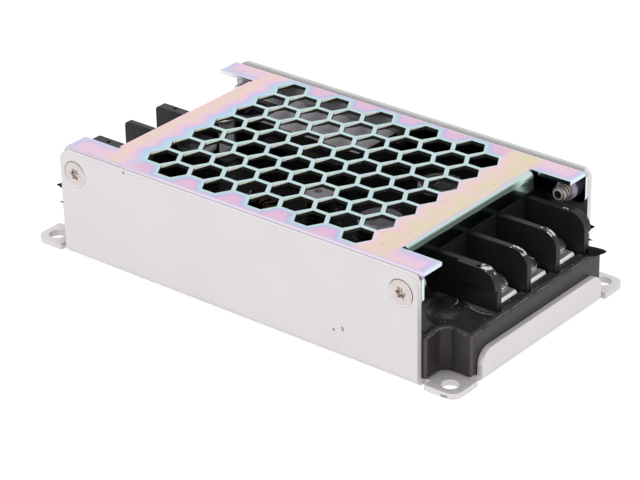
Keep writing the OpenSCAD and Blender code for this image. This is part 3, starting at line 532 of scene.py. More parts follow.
# %% Mouldings
def moulding(name, dark, pale, rough, grain_mm, glint_boxes=(), dots=(), mirror=0.3, rim=None):
    """A moulded plastic: clouds of two dark greys, pale worn edges and a fine grain. Boxes given for glints,
    each of lowest and highest x, y and z, get pale painted glints on upward faces; dots lists pale dots.
    rim is the outermost corner of a piece whose rounded rim and upright corners get a painted sheen."""
    finish = Finish(name, dark, rough, mirror=mirror)
    upward = finish.facing(UP)
    wear = finish.edges(0.3) * finish.noise(1.6).step(0.3, 0.65)
    finish.blend(finish.noise(5.0) * 0.35 + wear * 0.6, dark, pale)
    finish.paint(finish.dashes((1.1, 1.1, 1.1), 0.10, 0.06) * 0.5, (150, 148, 148))
    # Pale spots on the upward faces inside each box are painted glints.
    for least_corner, most_corner in glint_boxes:
        spots = finish.noise((1.1, 0.8, 1.1)).step(0.5, 0.58) * upward.step(0.1, 0.4)
        for axis, least, most in zip((finish.x, finish.y, finish.z), least_corner, most_corner):
            spots = spots * axis.step(least, least + 0.3) * axis.step(most, most - 0.3)
        finish.paint(spots * 0.9, (206, 205, 207))
    if dots:
        finish.paint(finish.near(dots, 0.34) * 0.9, (196, 194, 196))
    # A broken pale line on the rounded rim and a streak on the corners that face the front right are painted
    # sheen.
    if rim is not None:
        line = upward.step(0.35, 0.55) * upward.step(0.95, 0.8) * finish.noise(0.9).step(0.38, 0.6)
        outer = [abs(axis).step(most - 0.8, most - 0.5) for axis, most in zip((finish.x, finish.y), rim)]
        corner = outer[0].high(outer[1]) * finish.facing((0.707, -0.707, 0.0)).step(0.7, 1.0)
        finish.paint((line * 0.5).high(corner * 0.26), (128, 121, 126))
    grain = finish.noise(grain_mm)
    return finish.set(grain * 0.25 + (rough - 0.12), grain, 0.012, 0.15)


block_low, block_high = box_mm("input_terminal_block")
tray_low, tray_high = box_mm("potting_tray")
SHOULDER_GLINTS = ((block_high[0] - 4.2, block_low[1], block_high[2] - 1.4),
             (block_high[0] - 0.9, block_high[1] - 8.0, block_high[2] + 1))
GATE_DOTS = ((44.85, 18.2, block_high[2]), (45.55, 18.3, block_high[2]))
block_plastic = moulding("block_plastic", (18, 18, 19), (58, 56, 58), 0.42, 0.25, (SHOULDER_GLINTS,), GATE_DOTS)
tray_plastic = moulding("tray_plastic", (33, 29, 32), (72, 65, 70), 0.32, 0.4, rim=tray_high)
film_plastic = moulding("film_plastic", (8, 8, 8), (22, 22, 22), 0.6, 0.4, mirror=0.1)
package_plastic = moulding("package_plastic", (30, 30, 31), (52, 52, 53), 0.5, 0.2)
bobbin_plastic = moulding("bobbin_plastic", (14, 14, 14), (34, 34, 34), 0.6, 0.3)
pale_plastic = moulding("pale_plastic", (198, 194, 182), (222, 219, 210), 0.45, 0.3)
varistor_coat = moulding("varistor_coat", (40, 66, 120), (70, 96, 150), 0.25, 0.5)
dress(bobbin_plastic, "transformer_bobbin")
dress(package_plastic, "power_transistors", "rectifier_diodes", "control_chip", "fuse")
dress(pale_plastic, "optocoupler")
dress(varistor_coat, "varistor")

# %% [markdown]
# ## Resin
# The potting is a poured resin, nearly black and glossy where it lies open, with dust and painted wet
# glints on it. It is dull under the cover, and painted darker there and round the mound as painted
# shade. A curved stroke of painted highlight lies where it climbs the block, and half a ring of painted
# highlight where it mounds up over a tall part.

# %% Resin finish
varistor_low, varistor_high = box_mm("varistor")
MOUND_AT = (varistor_low + varistor_high)[:2] / 2
MOUND_SHADE_R = 3.2
MOUND_RING_R = 1.75
OPEN_FROM = 35.5
STROKE_X = 47.0
STROKE_Y = block_low[1] - 0.3
STROKE_CURVE = 0.05
potting = Finish("potting", (34, 32, 33), 0.2)
off_x, off_y = potting.x - MOUND_AT[0], potting.y - MOUND_AT[1]
mound_mm = hypot(off_x, off_y)
open_air = abs(potting.x).step(OPEN_FROM, OPEN_FROM + 2.0)
# Under the cover and round the mound the resin is painted darker: painted shade.
bare = open_air * mound_mm.step(MOUND_SHADE_R - 1.0, MOUND_SHADE_R + 1.0)
cloudy = potting.mix(potting.noise(4.0), (40, 37, 38), (58, 54, 55))
potting.blend(bare, (22, 21, 22), cloudy)
# The stroke along the block's foot and the half ring on the mound are painted highlights.
stroke_off = potting.x - STROKE_X
stroke = abs(potting.y - stroke_off * stroke_off * STROKE_CURVE - STROKE_Y).step(0.14, 0.05)
stroke = stroke * abs(stroke_off).step(3.2, 2.4) * potting.noise((0.8, 0.8, 4.0)).step(0.3, 0.5)
ring = abs(mound_mm - MOUND_RING_R).step(0.14, 0.05) * (off_y + off_x * 0.3).step(-0.2, 0.6)
ring = ring * potting.noise((0.7, 0.7, 4.0)).step(0.35, 0.5)
potting.paint(stroke.high(ring) * 0.8, (150, 147, 148))
potting.paint(potting.dashes((1.4, 1.4, 1.4), 0.5, 0.12) * 0.6, (170, 168, 168))
# Long pale marks in the open are painted wet glints.
potting.paint(potting.dashes((2.4, 0.7, 1.4), 0.3, 0.2) * open_air * 0.5, (138, 136, 137))
gloss = open_air * mound_mm.step(1.5, 4.5)
potting.set(potting.noise(3.0) * 0.2 + 0.5 - gloss * 0.4, potting.noise(2.4, 2.0), 0.03,
            mirror=gloss * 0.3 + 0.1)
dress(potting, "potting_compound")

# %% [markdown]
# ## Metals
# Screws are bright nickel, tabs and clamps are tinned: both have fine scratches that break up their
# gloss. On a cover screw the tone depends on the depth below the head's face and on the way from the
# screw's axis: a dark thread, a pale ring of painted highlight at its end, a rim round the head painted
# light on one side and dark on the other as painted light and shade, and a recess painted dark as
# painted shade, with painted glints in it.


# %% Cover screw finish
def plated(name, bright, dull, rough, size_mm, metal=1.0):
    """A plated metal: two tones in clouds, with fine scratches one way that change its gloss."""
    finish = Finish(name, bright, rough, metal)
    lines = finish.noise(size_mm, 2.0, 0.6)
    finish.blend(finish.noise(1.3), bright, dull)
    finish.paint(finish.edges(0.15) * 0.5, bright)
    return finish.set(lines * 0.3 + (rough - 0.15), lines, 0.004, 0.08)


nickel = Finish("nickel", (228, 222, 215), 0.3)
clouds = nickel.noise(1.3)
off_x, off_z = abs(nickel.x) - SCREW_X, nickel.z - COLLAR_Z
axis_mm = hypot(off_x, off_z)
depth = abs(nickel.y) * -1.0 + case_high[1]
head = depth.step(1.0, 0.9)
inner = depth.step(2.0, 3.0)
end = depth.step(5.6, 5.7)
nickel.blend(clouds, (220, 210, 207), (200, 190, 187))
nickel.paint(inner * axis_mm.step(1.4, 1.25), (70, 58, 50))
nickel.paint(inner * axis_mm.step(1.3, 1.5) * 0.5, (150, 136, 122))
# The pale ring on the screw's end is a painted highlight.
nickel.paint(end * abs(axis_mm - 1.0).step(0.22, 0.12), (240, 236, 230))
nickel.paint(end * axis_mm.step(0.8, 0.7), (46, 40, 38))
# The head's rim is painted light on one side and dark on the other: painted light and shade.
rim_shade = nickel.mix((off_z + off_x * 0.5).step(-1.0, 1.0), (246, 241, 238), (118, 106, 103))
nickel.paint(axis_mm.step(2.52, 2.62) * head * 0.8, rim_shade)
# The recess is painted dark as painted shade, with painted glints.
recess = head * depth.step(0.07, 0.14) * axis_mm.step(1.5, 1.4)
glints = nickel.noise(0.35, 2.0).step(0.46, 0.54)
nickel.paint(recess, nickel.mix(glints, (132, 114, 106), (244, 238, 232)))
nickel.set(clouds * 0.2 + 0.2, clouds, 0.004, 0.08, metal=recess * -0.3 - inner * 0.2 + 0.75)
terminal_steel = plated("terminal_steel", (230, 228, 224), (196, 194, 190), 0.34, (0.3, 1.2, 0.3), 0.75)
copper_wire = plated("copper_wire", (62, 46, 38), (42, 31, 26), 0.3, (0.6, 0.6, 0.6))
print("cover screws are painted about", SCREW_X, COLLAR_Z)

# %% [markdown]
# The heads of the terminal screws are dark, with two bands of painted highlight round their sides.
# On the tinned tabs the faces are painted a dull grey, partly matte tin and partly painted shade, and
# a rounded edge is painted white as a painted reflection.

# %% Terminal finishes
HEAD_H = 1.7
HEAD_HIGHLIGHTS = ((0.0, 0.26), (0.58, 0.74))
head_z = box_mm("input_screw_1")[1][2] - HEAD_H
head_steel = Finish("head_steel", (96, 94, 94), 0.36)
clouds = head_steel.noise(1.1)
# Two bands round each head's side are painted highlights.
highlight_bands = [head_steel.z.step(head_z + a - 0.04, head_z + a) * head_steel.z.step(head_z + b + 0.06, head_z + b)
         for a, b in HEAD_HIGHLIGHTS]
highlight_bands = highlight_bands[0].high(highlight_bands[1]) * head_steel.noise(0.8, 2.0).step(0.25, 0.5)
head_steel.blend(clouds, (140, 137, 136), (84, 82, 82))
head_steel.paint(highlight_bands, (236, 234, 232))
head_steel.set(clouds * 0.2 + 0.28, clouds, 0.004, 0.06, metal=highlight_bands * -0.65 + 0.85)

tinned = Finish("tinned", (236, 235, 232), 0.4, 0.3)
upward = tinned.facing(UP)
# A rounded edge is painted white as a painted reflection; the faces are painted grey, partly as painted
# shade.
painted_edge_light = upward.step(0.95, 0.8) * upward.step(0.2, 0.5)
dull = tinned.noise((1.5, 0.3, 0.3), 2.0)
tinned.blend(dull, (128, 127, 126), (176, 175, 172))
tinned.paint(painted_edge_light, (252, 252, 250))
tinned.set(dull * 0.2 + 0.3, dull, 0.004, 0.06, metal=painted_edge_light * -0.28 + 0.3)
dress(tinned, "input_terminal_tabs", "output_terminal_tabs")

# %% [markdown]
# ## Ferrite, board, tape and cans
# The cores are dull grey sintered ferrite with small pits. Their sides lie in the dark under the
# cover and are painted dark as painted shade, and a dark spot painted in the drum's top is the shade
# in its dimple. The board is green laminate with a woven grain, and the transformer's coil is wrapped
# in black tape. The cans have a dark sleeve and a bare brushed top with a pressed ring; the ring is
# picked out by arcs of painted highlight on one side, and the top of the back can is painted dark as
# painted shade.

# %% Ferrite finishes
drum_at = np.mean(box_mm("input_choke_core"), axis=0)
ferrite = Finish("ferrite", (102, 99, 103), 0.55)
pits = ferrite.dashes((0.7, 0.7, 0.7), 0.2, 0.16)
clouds = ferrite.noise(4.0)
ferrite.blend(clouds, (112, 110, 114), (150, 147, 152))
ferrite.paint(pits * 0.6, (52, 50, 52))
# A dark spot in the drum's top is painted shade for its dimple, and the sides are painted dark as painted
# shade.
ferrite.paint(hypot(ferrite.x - drum_at[0], ferrite.y - drum_at[1]).step(1.1, 0.6) * 0.85, (34, 33, 34))
ferrite.paint(ferrite.facing(UP).step(0.7, 0.3), (26, 25, 26))
ferrite.set(clouds * 0.2 + 0.4, pits * -1.0, 0.03, 0.3)
dress(ferrite, "transformer_core", "input_choke_core")

dark_ferrite = Finish("dark_ferrite", (40, 39, 40), 0.5)
clouds = dark_ferrite.noise(2.0)
dark_ferrite.blend(clouds, (30, 29, 30), (52, 50, 52))
dark_ferrite.set(clouds * 0.2 + 0.4, clouds, 0.02, 0.3)
dress(dark_ferrite, "output_choke_core")

# %% Board and tape finishes
laminate = Finish("board_laminate", (26, 74, 44), 0.35)
weave = laminate.noise((0.4, 3.0, 1.0), 2.0) * 0.5 + laminate.noise((3.0, 0.4, 1.0), 2.0) * 0.5
laminate.blend(weave, (20, 62, 36), (38, 92, 56))
laminate.set(weave * 0.2 + 0.25, weave, 0.01)
dress(laminate, "circuit_board")

tape = Finish("coil_tape", (26, 24, 22), 0.3)
winds = tape.noise((6.0, 6.0, 0.5), 2.0)
tape.blend(winds, (18, 17, 16), (36, 33, 30))
tape.set(winds * 0.2 + 0.22, winds, 0.05)
dress(tape, "transformer_winding")

# %% Can finish
CAN_EDGE_MM = 1.2
CAN_RING_HIGHLIGHTS = ((4.1, 0.25, 0.1, 1.0), (3.3, 0.14, 0.05, 0.6))
can_low, can_high = box_mm("input_capacitors")
can_top = can_high[2]
CAN_AT = ((can_low[0] + can_high[0]) / 2, can_high[1] - (can_high[0] - can_low[0]) / 2)
can_sleeve = Finish("can_sleeve", (34, 34, 38), 0.35, mirror=0.08)
bare = can_sleeve.z.step(can_top - CAN_EDGE_MM, can_top - CAN_EDGE_MM + 0.2)
brushed = can_sleeve.noise((0.4, 2.5, 0.4), 2.0)
lit_top = can_sleeve.mix(brushed, (78, 76, 80), (98, 95, 99))
# The top of the back can is painted dark as painted shade, the front one lighter as painted light.
can_sleeve.blend(can_sleeve.y.step(4.0, 0.0), (12, 12, 13), lit_top)
can_sleeve.paint(can_sleeve.z.step(can_top - 0.02, can_top - 0.15), (136, 134, 136))
off_x, off_y = can_sleeve.x - CAN_AT[0], can_sleeve.y - CAN_AT[1]
can_mm = hypot(off_x, off_y)
# Arcs of painted highlight on one side of the pressed rings.
ring_highlights = [abs(can_mm - r).step(wide, slim) * share for r, wide, slim, share in CAN_RING_HIGHLIGHTS]
can_sleeve.paint(ring_highlights[0].high(ring_highlights[1]) * (off_y - off_x * 0.3).step(0.0, 1.0), (150, 148, 146))
can_sleeve.blend(bare, (24, 24, 27), can_sleeve.tone)
can_sleeve.set(brushed * 0.2 + 0.2, brushed, 0.01)
dress(can_sleeve, "input_capacitors", "output_capacitors")

# %% [markdown]
# ## Surfaces from formulas
# Each new piece is one or more grids of points: a formula of two parameters, worked out as whole
# arrays. The faces of a grid are simple sums of point numbers. Seams are merged, so that each piece
# is closed, and its faces are turned outwards.


# %% Grids
def grid_faces(rows, columns, wrap):
    """Corner numbers of the quads between neighbouring grid points; wrap joins the last column."""
    across = columns if wrap else columns - 1
    row, column = np.meshgrid(np.arange(rows - 1), np.arange(across), indexing="ij")
    after = (column + 1) % columns
    corners = [row * columns + column, row * columns + after, (row + 1) * columns + after,
               (row + 1) * columns + column]
    return np.stack(corners, -1).reshape(-1, 4)


def patch(points, wrap=False, caps=False, keep=None):
    """Points and faces of one grid. caps closes its first and last row, keep drops unwanted quads."""
    rows, columns = points.shape[:2]
    faces = grid_faces(rows, columns, wrap)
    if keep is not None:
        faces = faces[keep.reshape(-1)]
    faces = faces.tolist()
    if caps:
        faces += [list(range(columns)), list(range((rows - 1) * columns, rows * columns))]
    return points.reshape(-1, 3), faces


def ease(value, start, end):
    """0 before start, 1 after end, smooth between them."""
    t = np.clip((value - start) / (end - start), 0, 1)
    return t * t * (3 - 2 * t)


def turned(radius, height, sides=64):
    """A profile carried round the Z axis: each station has a radius and a height, and either may
    change with the angle."""
    angle = np.linspace(0, 2 * np.pi, sides, endpoint=False)
    shape = (len(height), sides)
    radius, height = (np.broadcast_to(np.asarray(part, float).reshape(len(height), -1), shape)
                      for part in (radius, height))
    return np.stack([radius * np.cos(angle), radius * np.sin(angle), height], -1)


print("a wrapped grid of 3 by 8 has", len(grid_faces(3, 8, True)), "quads")


# %% Pieces
def settle(name, mesh, finish, body, replaced, sharp_deg=35.0):
    """Put a mesh into the scene as a piece with a finish, which rides on a body of the model."""
    mesh.shade_smooth()
    mesh.set_sharp_from_angle(angle=math.radians(sharp_deg))
    mesh.materials.clear()
    mesh.materials.append(finish.material)
    made = bpy.data.objects.new(name, mesh)
    scene.collection.objects.link(made)
    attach(made, body)
    if replaced:
        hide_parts(*replaced)
    print(name, "faces", len(mesh.polygons), "on", body)
    return made


def piece(name, patches, finish, body, replaced=(), sharp_deg=35.0):
    """Join grids into one closed mesh at the origin."""
    points, faces = [], []
    for spots, corners in patches:
        start = sum(len(p) for p in points)
        points.append(spots)
        faces += [[start + c for c in corner] for corner in corners]
    mesh = bpy.data.meshes.new(name)
    mesh.from_pydata((np.concatenate(points) * MM).tolist(), [], faces)
    shape = bmesh.new()
    shape.from_mesh(mesh)
    bmesh.ops.remove_doubles(shape, verts=shape.verts, dist=2e-7)
    loose = [v for v in shape.verts if not v.link_faces]
    bmesh.ops.delete(shape, geom=loose, context="VERTS")
    bmesh.ops.recalc_face_normals(shape, faces=shape.faces)
    shape.to_mesh(mesh)
    shape.free()
    return settle(name, mesh, finish, body, replaced, sharp_deg)


def softened(node, finish, body, round_mm, name):
    """A copy of a node with its flat ground joined up and its sharp edges rounded by a bevel."""
    mesh = NODES[node].data.copy()
    mesh.name = name
    shape = bmesh.new()
    shape.from_mesh(mesh)
    bmesh.ops.remove_doubles(shape, verts=shape.verts, dist=1e-7)
    bmesh.ops.dissolve_limit(shape, angle_limit=math.radians(0.5), verts=shape.verts, edges=shape.edges)
    shape.to_mesh(mesh)
    shape.free()
    made = settle(name, mesh, finish, body, (node,))
    bevel = made.modifiers.new("rounded_edges", "BEVEL")
    bevel.width = round_mm * MM
    bevel.segments = 2
    bevel.limit_method = "ANGLE"
    bevel.angle_limit = math.radians(40.0)
    bevel.harden_normals = True
    return made


print("pieces go to", scene.collection.name)

# %% [markdown]
# ## The tray
# The tray that the resin was poured into is a thin soft moulding. Seen from above it is a long plate
# with a step beside each mounting ear and a scallop in each step. Its rim is round, and it bows up
# between the corners, because the resin shrank and pulled the corners down. A box with bevels would
# show neither, so a rim profile is carried round the outline: inset from the outline and height.

# %% Tray outline
TRAY_STEP = 6.9
TRAY_REACH = 0.9
SCALLOP_R = 2.0
TRAY_CORNER_R = 0.6
RIM_BOW = 0.55
RIM_BOW_MM = 4.0
TRAY_END_X, TRAY_SIDE_Y, TRAY_TOP = tray_high
TRAY_SIDE_X = case_high[0] - EAR_LENGTH + TRAY_REACH
TRAY_END_Y = case_high[1] - TRAY_STEP
STRAIGHT_POINTS = 40


def arc(centre, radius, start_deg, end_deg, count):
    """Points on a round stretch of an outline."""
    angle = np.radians(np.linspace(start_deg, end_deg, count))
    return np.array(centre) + radius * np.stack([np.cos(angle), np.sin(angle)], -1)


def tray_outline(inset):
    """The tray's plan drawn in by a distance, as one closed line with the same points for any inset:
    a quarter with two corners and a scallop, mirrored twice."""
    round_r = max(TRAY_CORNER_R - inset, 0.05)
    side = np.array([TRAY_SIDE_X, TRAY_SIDE_Y]) - inset
    end = np.array([TRAY_END_X, TRAY_END_Y]) - inset
    dip = (TRAY_SIDE_X + SCALLOP_R, TRAY_END_Y + SCALLOP_R)
    bends = np.concatenate([
        arc(side - round_r, round_r, 90, 0, 8),
        arc(dip, SCALLOP_R + inset, 180, 270, 16),
        arc(end - round_r, round_r, 90, 0, 8),
    ])
    along = np.linspace(0, bends[0, 0], STRAIGHT_POINTS, endpoint=False)
    top = np.stack([along, np.full(STRAIGHT_POINTS, side[1])], -1)
    down = np.linspace(bends[-1, 1], 0, STRAIGHT_POINTS + 1)[1:]
    right = np.stack([np.full(STRAIGHT_POINTS, end[0]), down], -1)
    quarter = np.concatenate([top, bends, right])
    half = np.concatenate([quarter, quarter[-2::-1] * (1, -1)])
    return np.concatenate([half, half[-2:0:-1] * (-1, 1)])


def rim_lift(points):
    """How far the rim stands above its corners: nothing at a corner, the full bow away from it."""
    corners = np.array([[TRAY_SIDE_X, TRAY_SIDE_Y], [TRAY_END_X, TRAY_END_Y]])
    away = np.linalg.norm(np.abs(points)[..., None, :] - corners, axis=-1).min(-1)
    return RIM_BOW * (1 - np.exp(-((away / RIM_BOW_MM) ** 2)))


print("tray outline has", len(tray_outline(0.0)), "points")

# %% Tray
TRAY_WALL = 1.0
TRAY_FOOT = 0.4
RIM_R = 0.45
TRAY_FLOOR = tray_low[2]
POST_R = 1.5
POST_H = 2.0
POST_X = (9.0, TRAY_SIDE_X - 9.0)
POST_Y = TRAY_END_Y - 3.7
rim_turn = np.radians(np.linspace(0, 90, 6))
rim_z = TRAY_TOP - RIM_R
wall_profile = [(TRAY_FOOT, TRAY_FLOOR), (TRAY_FOOT, TRAY_FLOOR + TRAY_FOOT), (0.0, TRAY_FLOOR + TRAY_FOOT)]
wall_profile += [(0.0, z) for z in np.linspace(TRAY_FLOOR + 1.0, rim_z - 0.1, 4)]
wall_profile += [(RIM_R * (1 - math.cos(a)), rim_z + RIM_R * math.sin(a)) for a in rim_turn]
wall_profile += [(TRAY_WALL - RIM_R * (1 - math.sin(a)), rim_z + RIM_R * math.cos(a)) for a in rim_turn]
wall_profile += [(TRAY_WALL, TRAY_FLOOR + TRAY_WALL)]


def tray_ring(inset, height):
    """One closed line of the tray's wall; the bow grows from the floor to the rim."""
    line = tray_outline(inset)
    share = np.clip((height - TRAY_FLOOR) / (TRAY_TOP - TRAY_FLOOR), 0, 1) ** 3
    return np.concatenate([line, (height + rim_lift(line) * share)[:, None]], -1)


tray_wall = np.stack([tray_ring(inset, height) for inset, height in wall_profile])
post_z = TRAY_FLOOR + TRAY_WALL
post = turned([0.0, POST_R, POST_R, 0.0], [post_z] * 2 + [post_z + POST_H] * 2, 24)
posts = [patch(post + (sx * x, sy * POST_Y, 0), wrap=True)
         for x in POST_X for sx in (-1, 1) for sy in (-1, 1)]
piece("tray_skin", [patch(tray_wall, wrap=True, caps=True)] + posts, tray_plastic, "case",
      ("potting_tray",))

# %% [markdown]
# ## The resin's skin
# Liquid resin climbs a little wherever it meets a wall, and it set that way: a curved fillet runs
# round the block's foot and up over the tray's rim, and a small part under the surface left a mound.
# The solid below has a flat top, so a thin skin lies on it: a height above each point of a square
# grid, cut away where the block stands. The mound is a profile carried round an axis.

# %% Distances on the resin
BARRIER_T = 1.3
PANEL_T = 0.8
BLOCK_PITCH = 9.5
BAY_SETBACK = 1.4


def box_gap(x, y, low, high):
    """Distance from points to an upright box, 0 inside it."""
    return np.hypot(np.maximum(np.maximum(low[0] - x, x - high[0]), 0),
                    np.maximum(np.maximum(low[1] - y, y - high[1]), 0))


def tray_depth(x, y, inset):
    """Distance inwards from the tray's outline drawn in by inset: the larger of the depths in its wide
    middle and its long narrow plate, with the scallop's round between them."""
    wide = np.minimum(TRAY_SIDE_X - inset - np.abs(x), TRAY_SIDE_Y - inset - np.abs(y))
    slim = np.minimum(TRAY_END_X - inset - np.abs(x), TRAY_END_Y - inset - np.abs(y))
    r = SCALLOP_R + inset
    from_round = np.hypot(np.maximum(r + wide, 0), np.maximum(r + slim, 0))
    return from_round - np.maximum(r, np.minimum(-wide, -slim))


def block_boxes(node, sign):
    """A block's footprint: its floor and each of its barriers."""
    low, high = box_mm(node)
    front, back = (high[0], low[0]) if sign > 0 else (low[0], high[0])
    y0, y1 = low[1] + PANEL_T, high[1] - PANEL_T
    floor_x = sorted([back, front - sign * BAY_SETBACK])
    barrier_x = sorted([back, front])
    barriers = [((barrier_x[0], start), (barrier_x[1], start + BARRIER_T))
                for start in np.arange(y0, y1, BLOCK_PITCH)]
    return [((floor_x[0], y0), (floor_x[1], y1))] + barriers


print("input block stands on", len(block_boxes("input_terminal_block", 1)), "boxes")

# %% Resin skin
POT_DROP = 0.6
POT_Z = TRAY_TOP - POT_DROP
SKIN_STEP = 0.16
SKIN_THICK = 0.05
SKIN_PAST_WALL = 0.55
LEVEL = 0.1
RIM_COVER = 0.05
RIM_MM = 1.1
CLIMB_BLOCK = 0.75
CLIMB_MM = 0.8
WAVE_H = 0.04


def resin_skin(name, sign, block):
    """Height of the resin: level, plus a fillet at the wall and one at the block, with low waves."""
    boxes = block_boxes(block, sign)
    back = min(abs(low[0]) if sign > 0 else abs(high[0]) for low, high in boxes)
    xs = np.arange(back - 1.5, TRAY_END_X - 0.2, SKIN_STEP) * sign
    ys = np.arange(-TRAY_SIDE_Y + 0.2, TRAY_SIDE_Y - 0.2, SKIN_STEP)
    x, y = np.meshgrid(xs, ys, indexing="ij")
    depth = tray_depth(x, y, TRAY_WALL)
    gap = np.min([box_gap(x, y, *b) for b in boxes], axis=0)
    rim = POT_DROP + RIM_COVER - LEVEL + rim_lift(np.stack([x, y], -1))
    at_rim = rim * np.exp(-np.maximum(depth, 0) / RIM_MM)
    at_block = CLIMB_BLOCK * np.exp(-((gap / CLIMB_MM) ** 1.4)) * ease(depth, -0.3, 1.2)
    waves = WAVE_H * np.sin(1.1 * x + 0.7 * y) * np.sin(0.9 * y - 0.4 * x)
    height = LEVEL + np.hypot(at_rim, at_block) + waves * np.clip(np.minimum(gap, depth), 0, 1)
    inside = (depth > -SKIN_PAST_WALL) & (gap > 0)
    keep = inside[:-1, :-1] & inside[1:, :-1] & inside[:-1, 1:] & inside[1:, 1:]
    made = piece(name, [patch(np.stack([x, y, POT_Z + height], -1), keep=keep)], potting, "case",
                 sharp_deg=75.0)
    shell = made.modifiers.new("skin", "SOLIDIFY")
    shell.thickness = SKIN_THICK * MM
    shell.offset = -1.0


resin_skin("resin_skin_input", 1, "input_terminal_block")
resin_skin("resin_skin_output", -1, "output_terminal_block")

# %% Mound
MOUND_H = 2.2
MOUND_SPREAD = 2.7
MOUND_REACH = 6.4


def mound():
    """A low dome over the part below: a bell curve turned round its axis, which ends under the level."""
    radius = np.concatenate([[0], np.linspace(MOUND_REACH, 0, 48)])
    height = LEVEL - 0.03 + MOUND_H * np.exp(-(radius / MOUND_SPREAD) ** 2)
    height[0] = 0
    return turned(radius, height, 72)


piece("resin_mound", [patch(mound() + (*MOUND_AT, POT_Z), wrap=True)], potting, "case")

# %% [markdown]
# The tray's moulding has a pointed flash at one corner of its rim. An insulating film lies inside each
# side wall, and its trimmed corners stand a little past the ends of the walls. Each such tip is a
# triangle that is thickest in the middle: two sheets that meet along its sides.

# %% Flash and film tips
RIM_Z = TRAY_TOP + RIM_BOW / 2
FILM_Y = 26.6
FILM_ROOT_X = 44.0
FILM_T = 0.2
# which end and side, the heights of the root's ends, the tip's x and height
FILM_TIPS = ((1, 12.0, 9.3, 46.6, 11.5), (1, 8.7, 7.6, 46.3, 8.4),
             (-1, 15.6, 12.8, 47.5, 13.8), (-1, 11.0, 9.7, 47.0, 10.2))


def tip(root_a, root_b, point, across, thick, taper=1.0):
    """A pointed lens between two root points and a tip: its width falls as a power of the way to the
    tip, and half the thickness lies on either side."""
    u, v = np.meshgrid(np.linspace(0, 1, 12), np.linspace(0, 1, 9), indexing="ij")
    u, v = u[..., None], v[..., None]
    root_a, root_b, point, across = (np.array(p, float) for p in (root_a, root_b, point, across))
    width = (1 - u) ** taper
    middle = (1 - u) * (root_a + root_b) / 2 + u * point + width * (v - 0.5) * (root_b - root_a)
    bulge = thick / 2 * width * np.sin(np.pi * v) * across
    return [patch(middle + bulge), patch(middle - bulge)]


flash = tip((TRAY_END_X - 0.4, TRAY_END_Y - 3.5, RIM_Z), (TRAY_END_X - 3.5, TRAY_END_Y - 0.4, RIM_Z),
            (TRAY_END_X + 0.8, TRAY_END_Y + 0.8, TRAY_TOP), UP, 2.2, 0.6)
piece("tray_flash", flash, film_plastic, "case")
films = []
for s, root_high, root_low, tip_x, tip_z in FILM_TIPS:
    films += tip((s * FILM_ROOT_X, s * FILM_Y, root_high), (s * FILM_ROOT_X, s * FILM_Y, root_low),
                 (s * tip_x, s * FILM_Y, tip_z), (0, 1, 0), FILM_T)
piece("film_tips", films, film_plastic, "case")

# %% [markdown]
# ## Terminal blocks
# Each block is one moulding: barriers between the terminals, a back wall and a floor. The solids have
# knife-sharp edges, but a mould never does: a copy with its edges rounded catches the light along
# every barrier.

# %% Terminal blocks
BLOCK_ROUND = 0.18
for end in ("input", "output"):
    softened(f"{end}_terminal_block", block_plastic, "case", BLOCK_ROUND,
             f"{end}_block_moulding")

# %% [markdown]
# ## Screws
# A screw is turned and rolled: a profile carried round an axis. In the threaded stretch the radius
# also depends on the angle, so that the ridge climbs one pitch for each turn. The drive recess is
# sunk into the head: six lobes in the cover screws, and a cross with a slot in the terminal screws.

# %% Threads and cover screws
COVER_SCREW_R = 1.5
COVER_HEAD_R = 2.75
COVER_SCREW_L = 6.0
COVER_THREAD = 0.8
COVER_THREAD_DEPTH = 0.3
RECESS_R = 1.06
LOBE = 0.19
RECESS_DEPTH = 0.7
SCREW_DROP = 4.5
SCREW_Z = CASE_TOP - SCREW_DROP


def threaded(radius, pitch, depth, start, end, sides, per_turn=8):
    """A thread's rows from start to end: the radius falls by the depth between ridges, which climb
    with the angle."""
    count = int((end - start) / pitch * per_turn) + 1
    height = np.linspace(start, end, count)
    turn = np.arange(sides) / sides
    phase = (height[:, None] / pitch - turn) % 1.0
    fade = np.clip(np.minimum(height - start, end - height) / pitch, 0, 1)[:, None]
    return radius - depth * fade * np.clip(np.abs(phase - 0.5) * 3.2 - 0.3, 0, 1), height


def cover_screw(sides=60):
    """Countersunk screw along +Z with its face at 0: recess floor, recess wall, face, cone, thread."""
    lobes = RECESS_R + LOBE * np.cos(6 * np.linspace(0, 2 * np.pi, sides, endpoint=False))
    one = np.ones(sides)
    head = [(0 * one, RECESS_DEPTH), (0.55 * lobes, RECESS_DEPTH + 0.05), (0.97 * lobes, RECESS_DEPTH),
            (1.0 * lobes, 0.08), (1.06 * lobes, 0.0), (COVER_HEAD_R * one - 0.12, 0.0),
            (COVER_HEAD_R * one - 0.03, 0.03), (COVER_HEAD_R * one - 0.06, 0.1),
            ((COVER_HEAD_R - SHEET_T) * one, SHEET_T)]
    rows, heights = threaded(COVER_SCREW_R, COVER_THREAD, COVER_THREAD_DEPTH, SHEET_T + 0.1,
                             COVER_SCREW_L - 0.35, sides)
    radius = np.concatenate([[r for r, _ in head], rows, [0.75 * COVER_SCREW_R * one, 0 * one]])
    height = np.concatenate([[h for _, h in head], heights, [COVER_SCREW_L] * 2])
    return turned(radius, height, sides)


screw = cover_screw()
screws = []
for sx in (-1, 1):
    for sy in (-1, 1):
        along = np.stack([screw[..., 0], -sy * screw[..., 2], sy * screw[..., 1]], -1)
        screws.append(patch(along + (sx * SCREW_X, sy * case_high[1], SCREW_Z), wrap=True))
piece("cover_screw_set", screws, nickel, "case", ("cover_screws",))

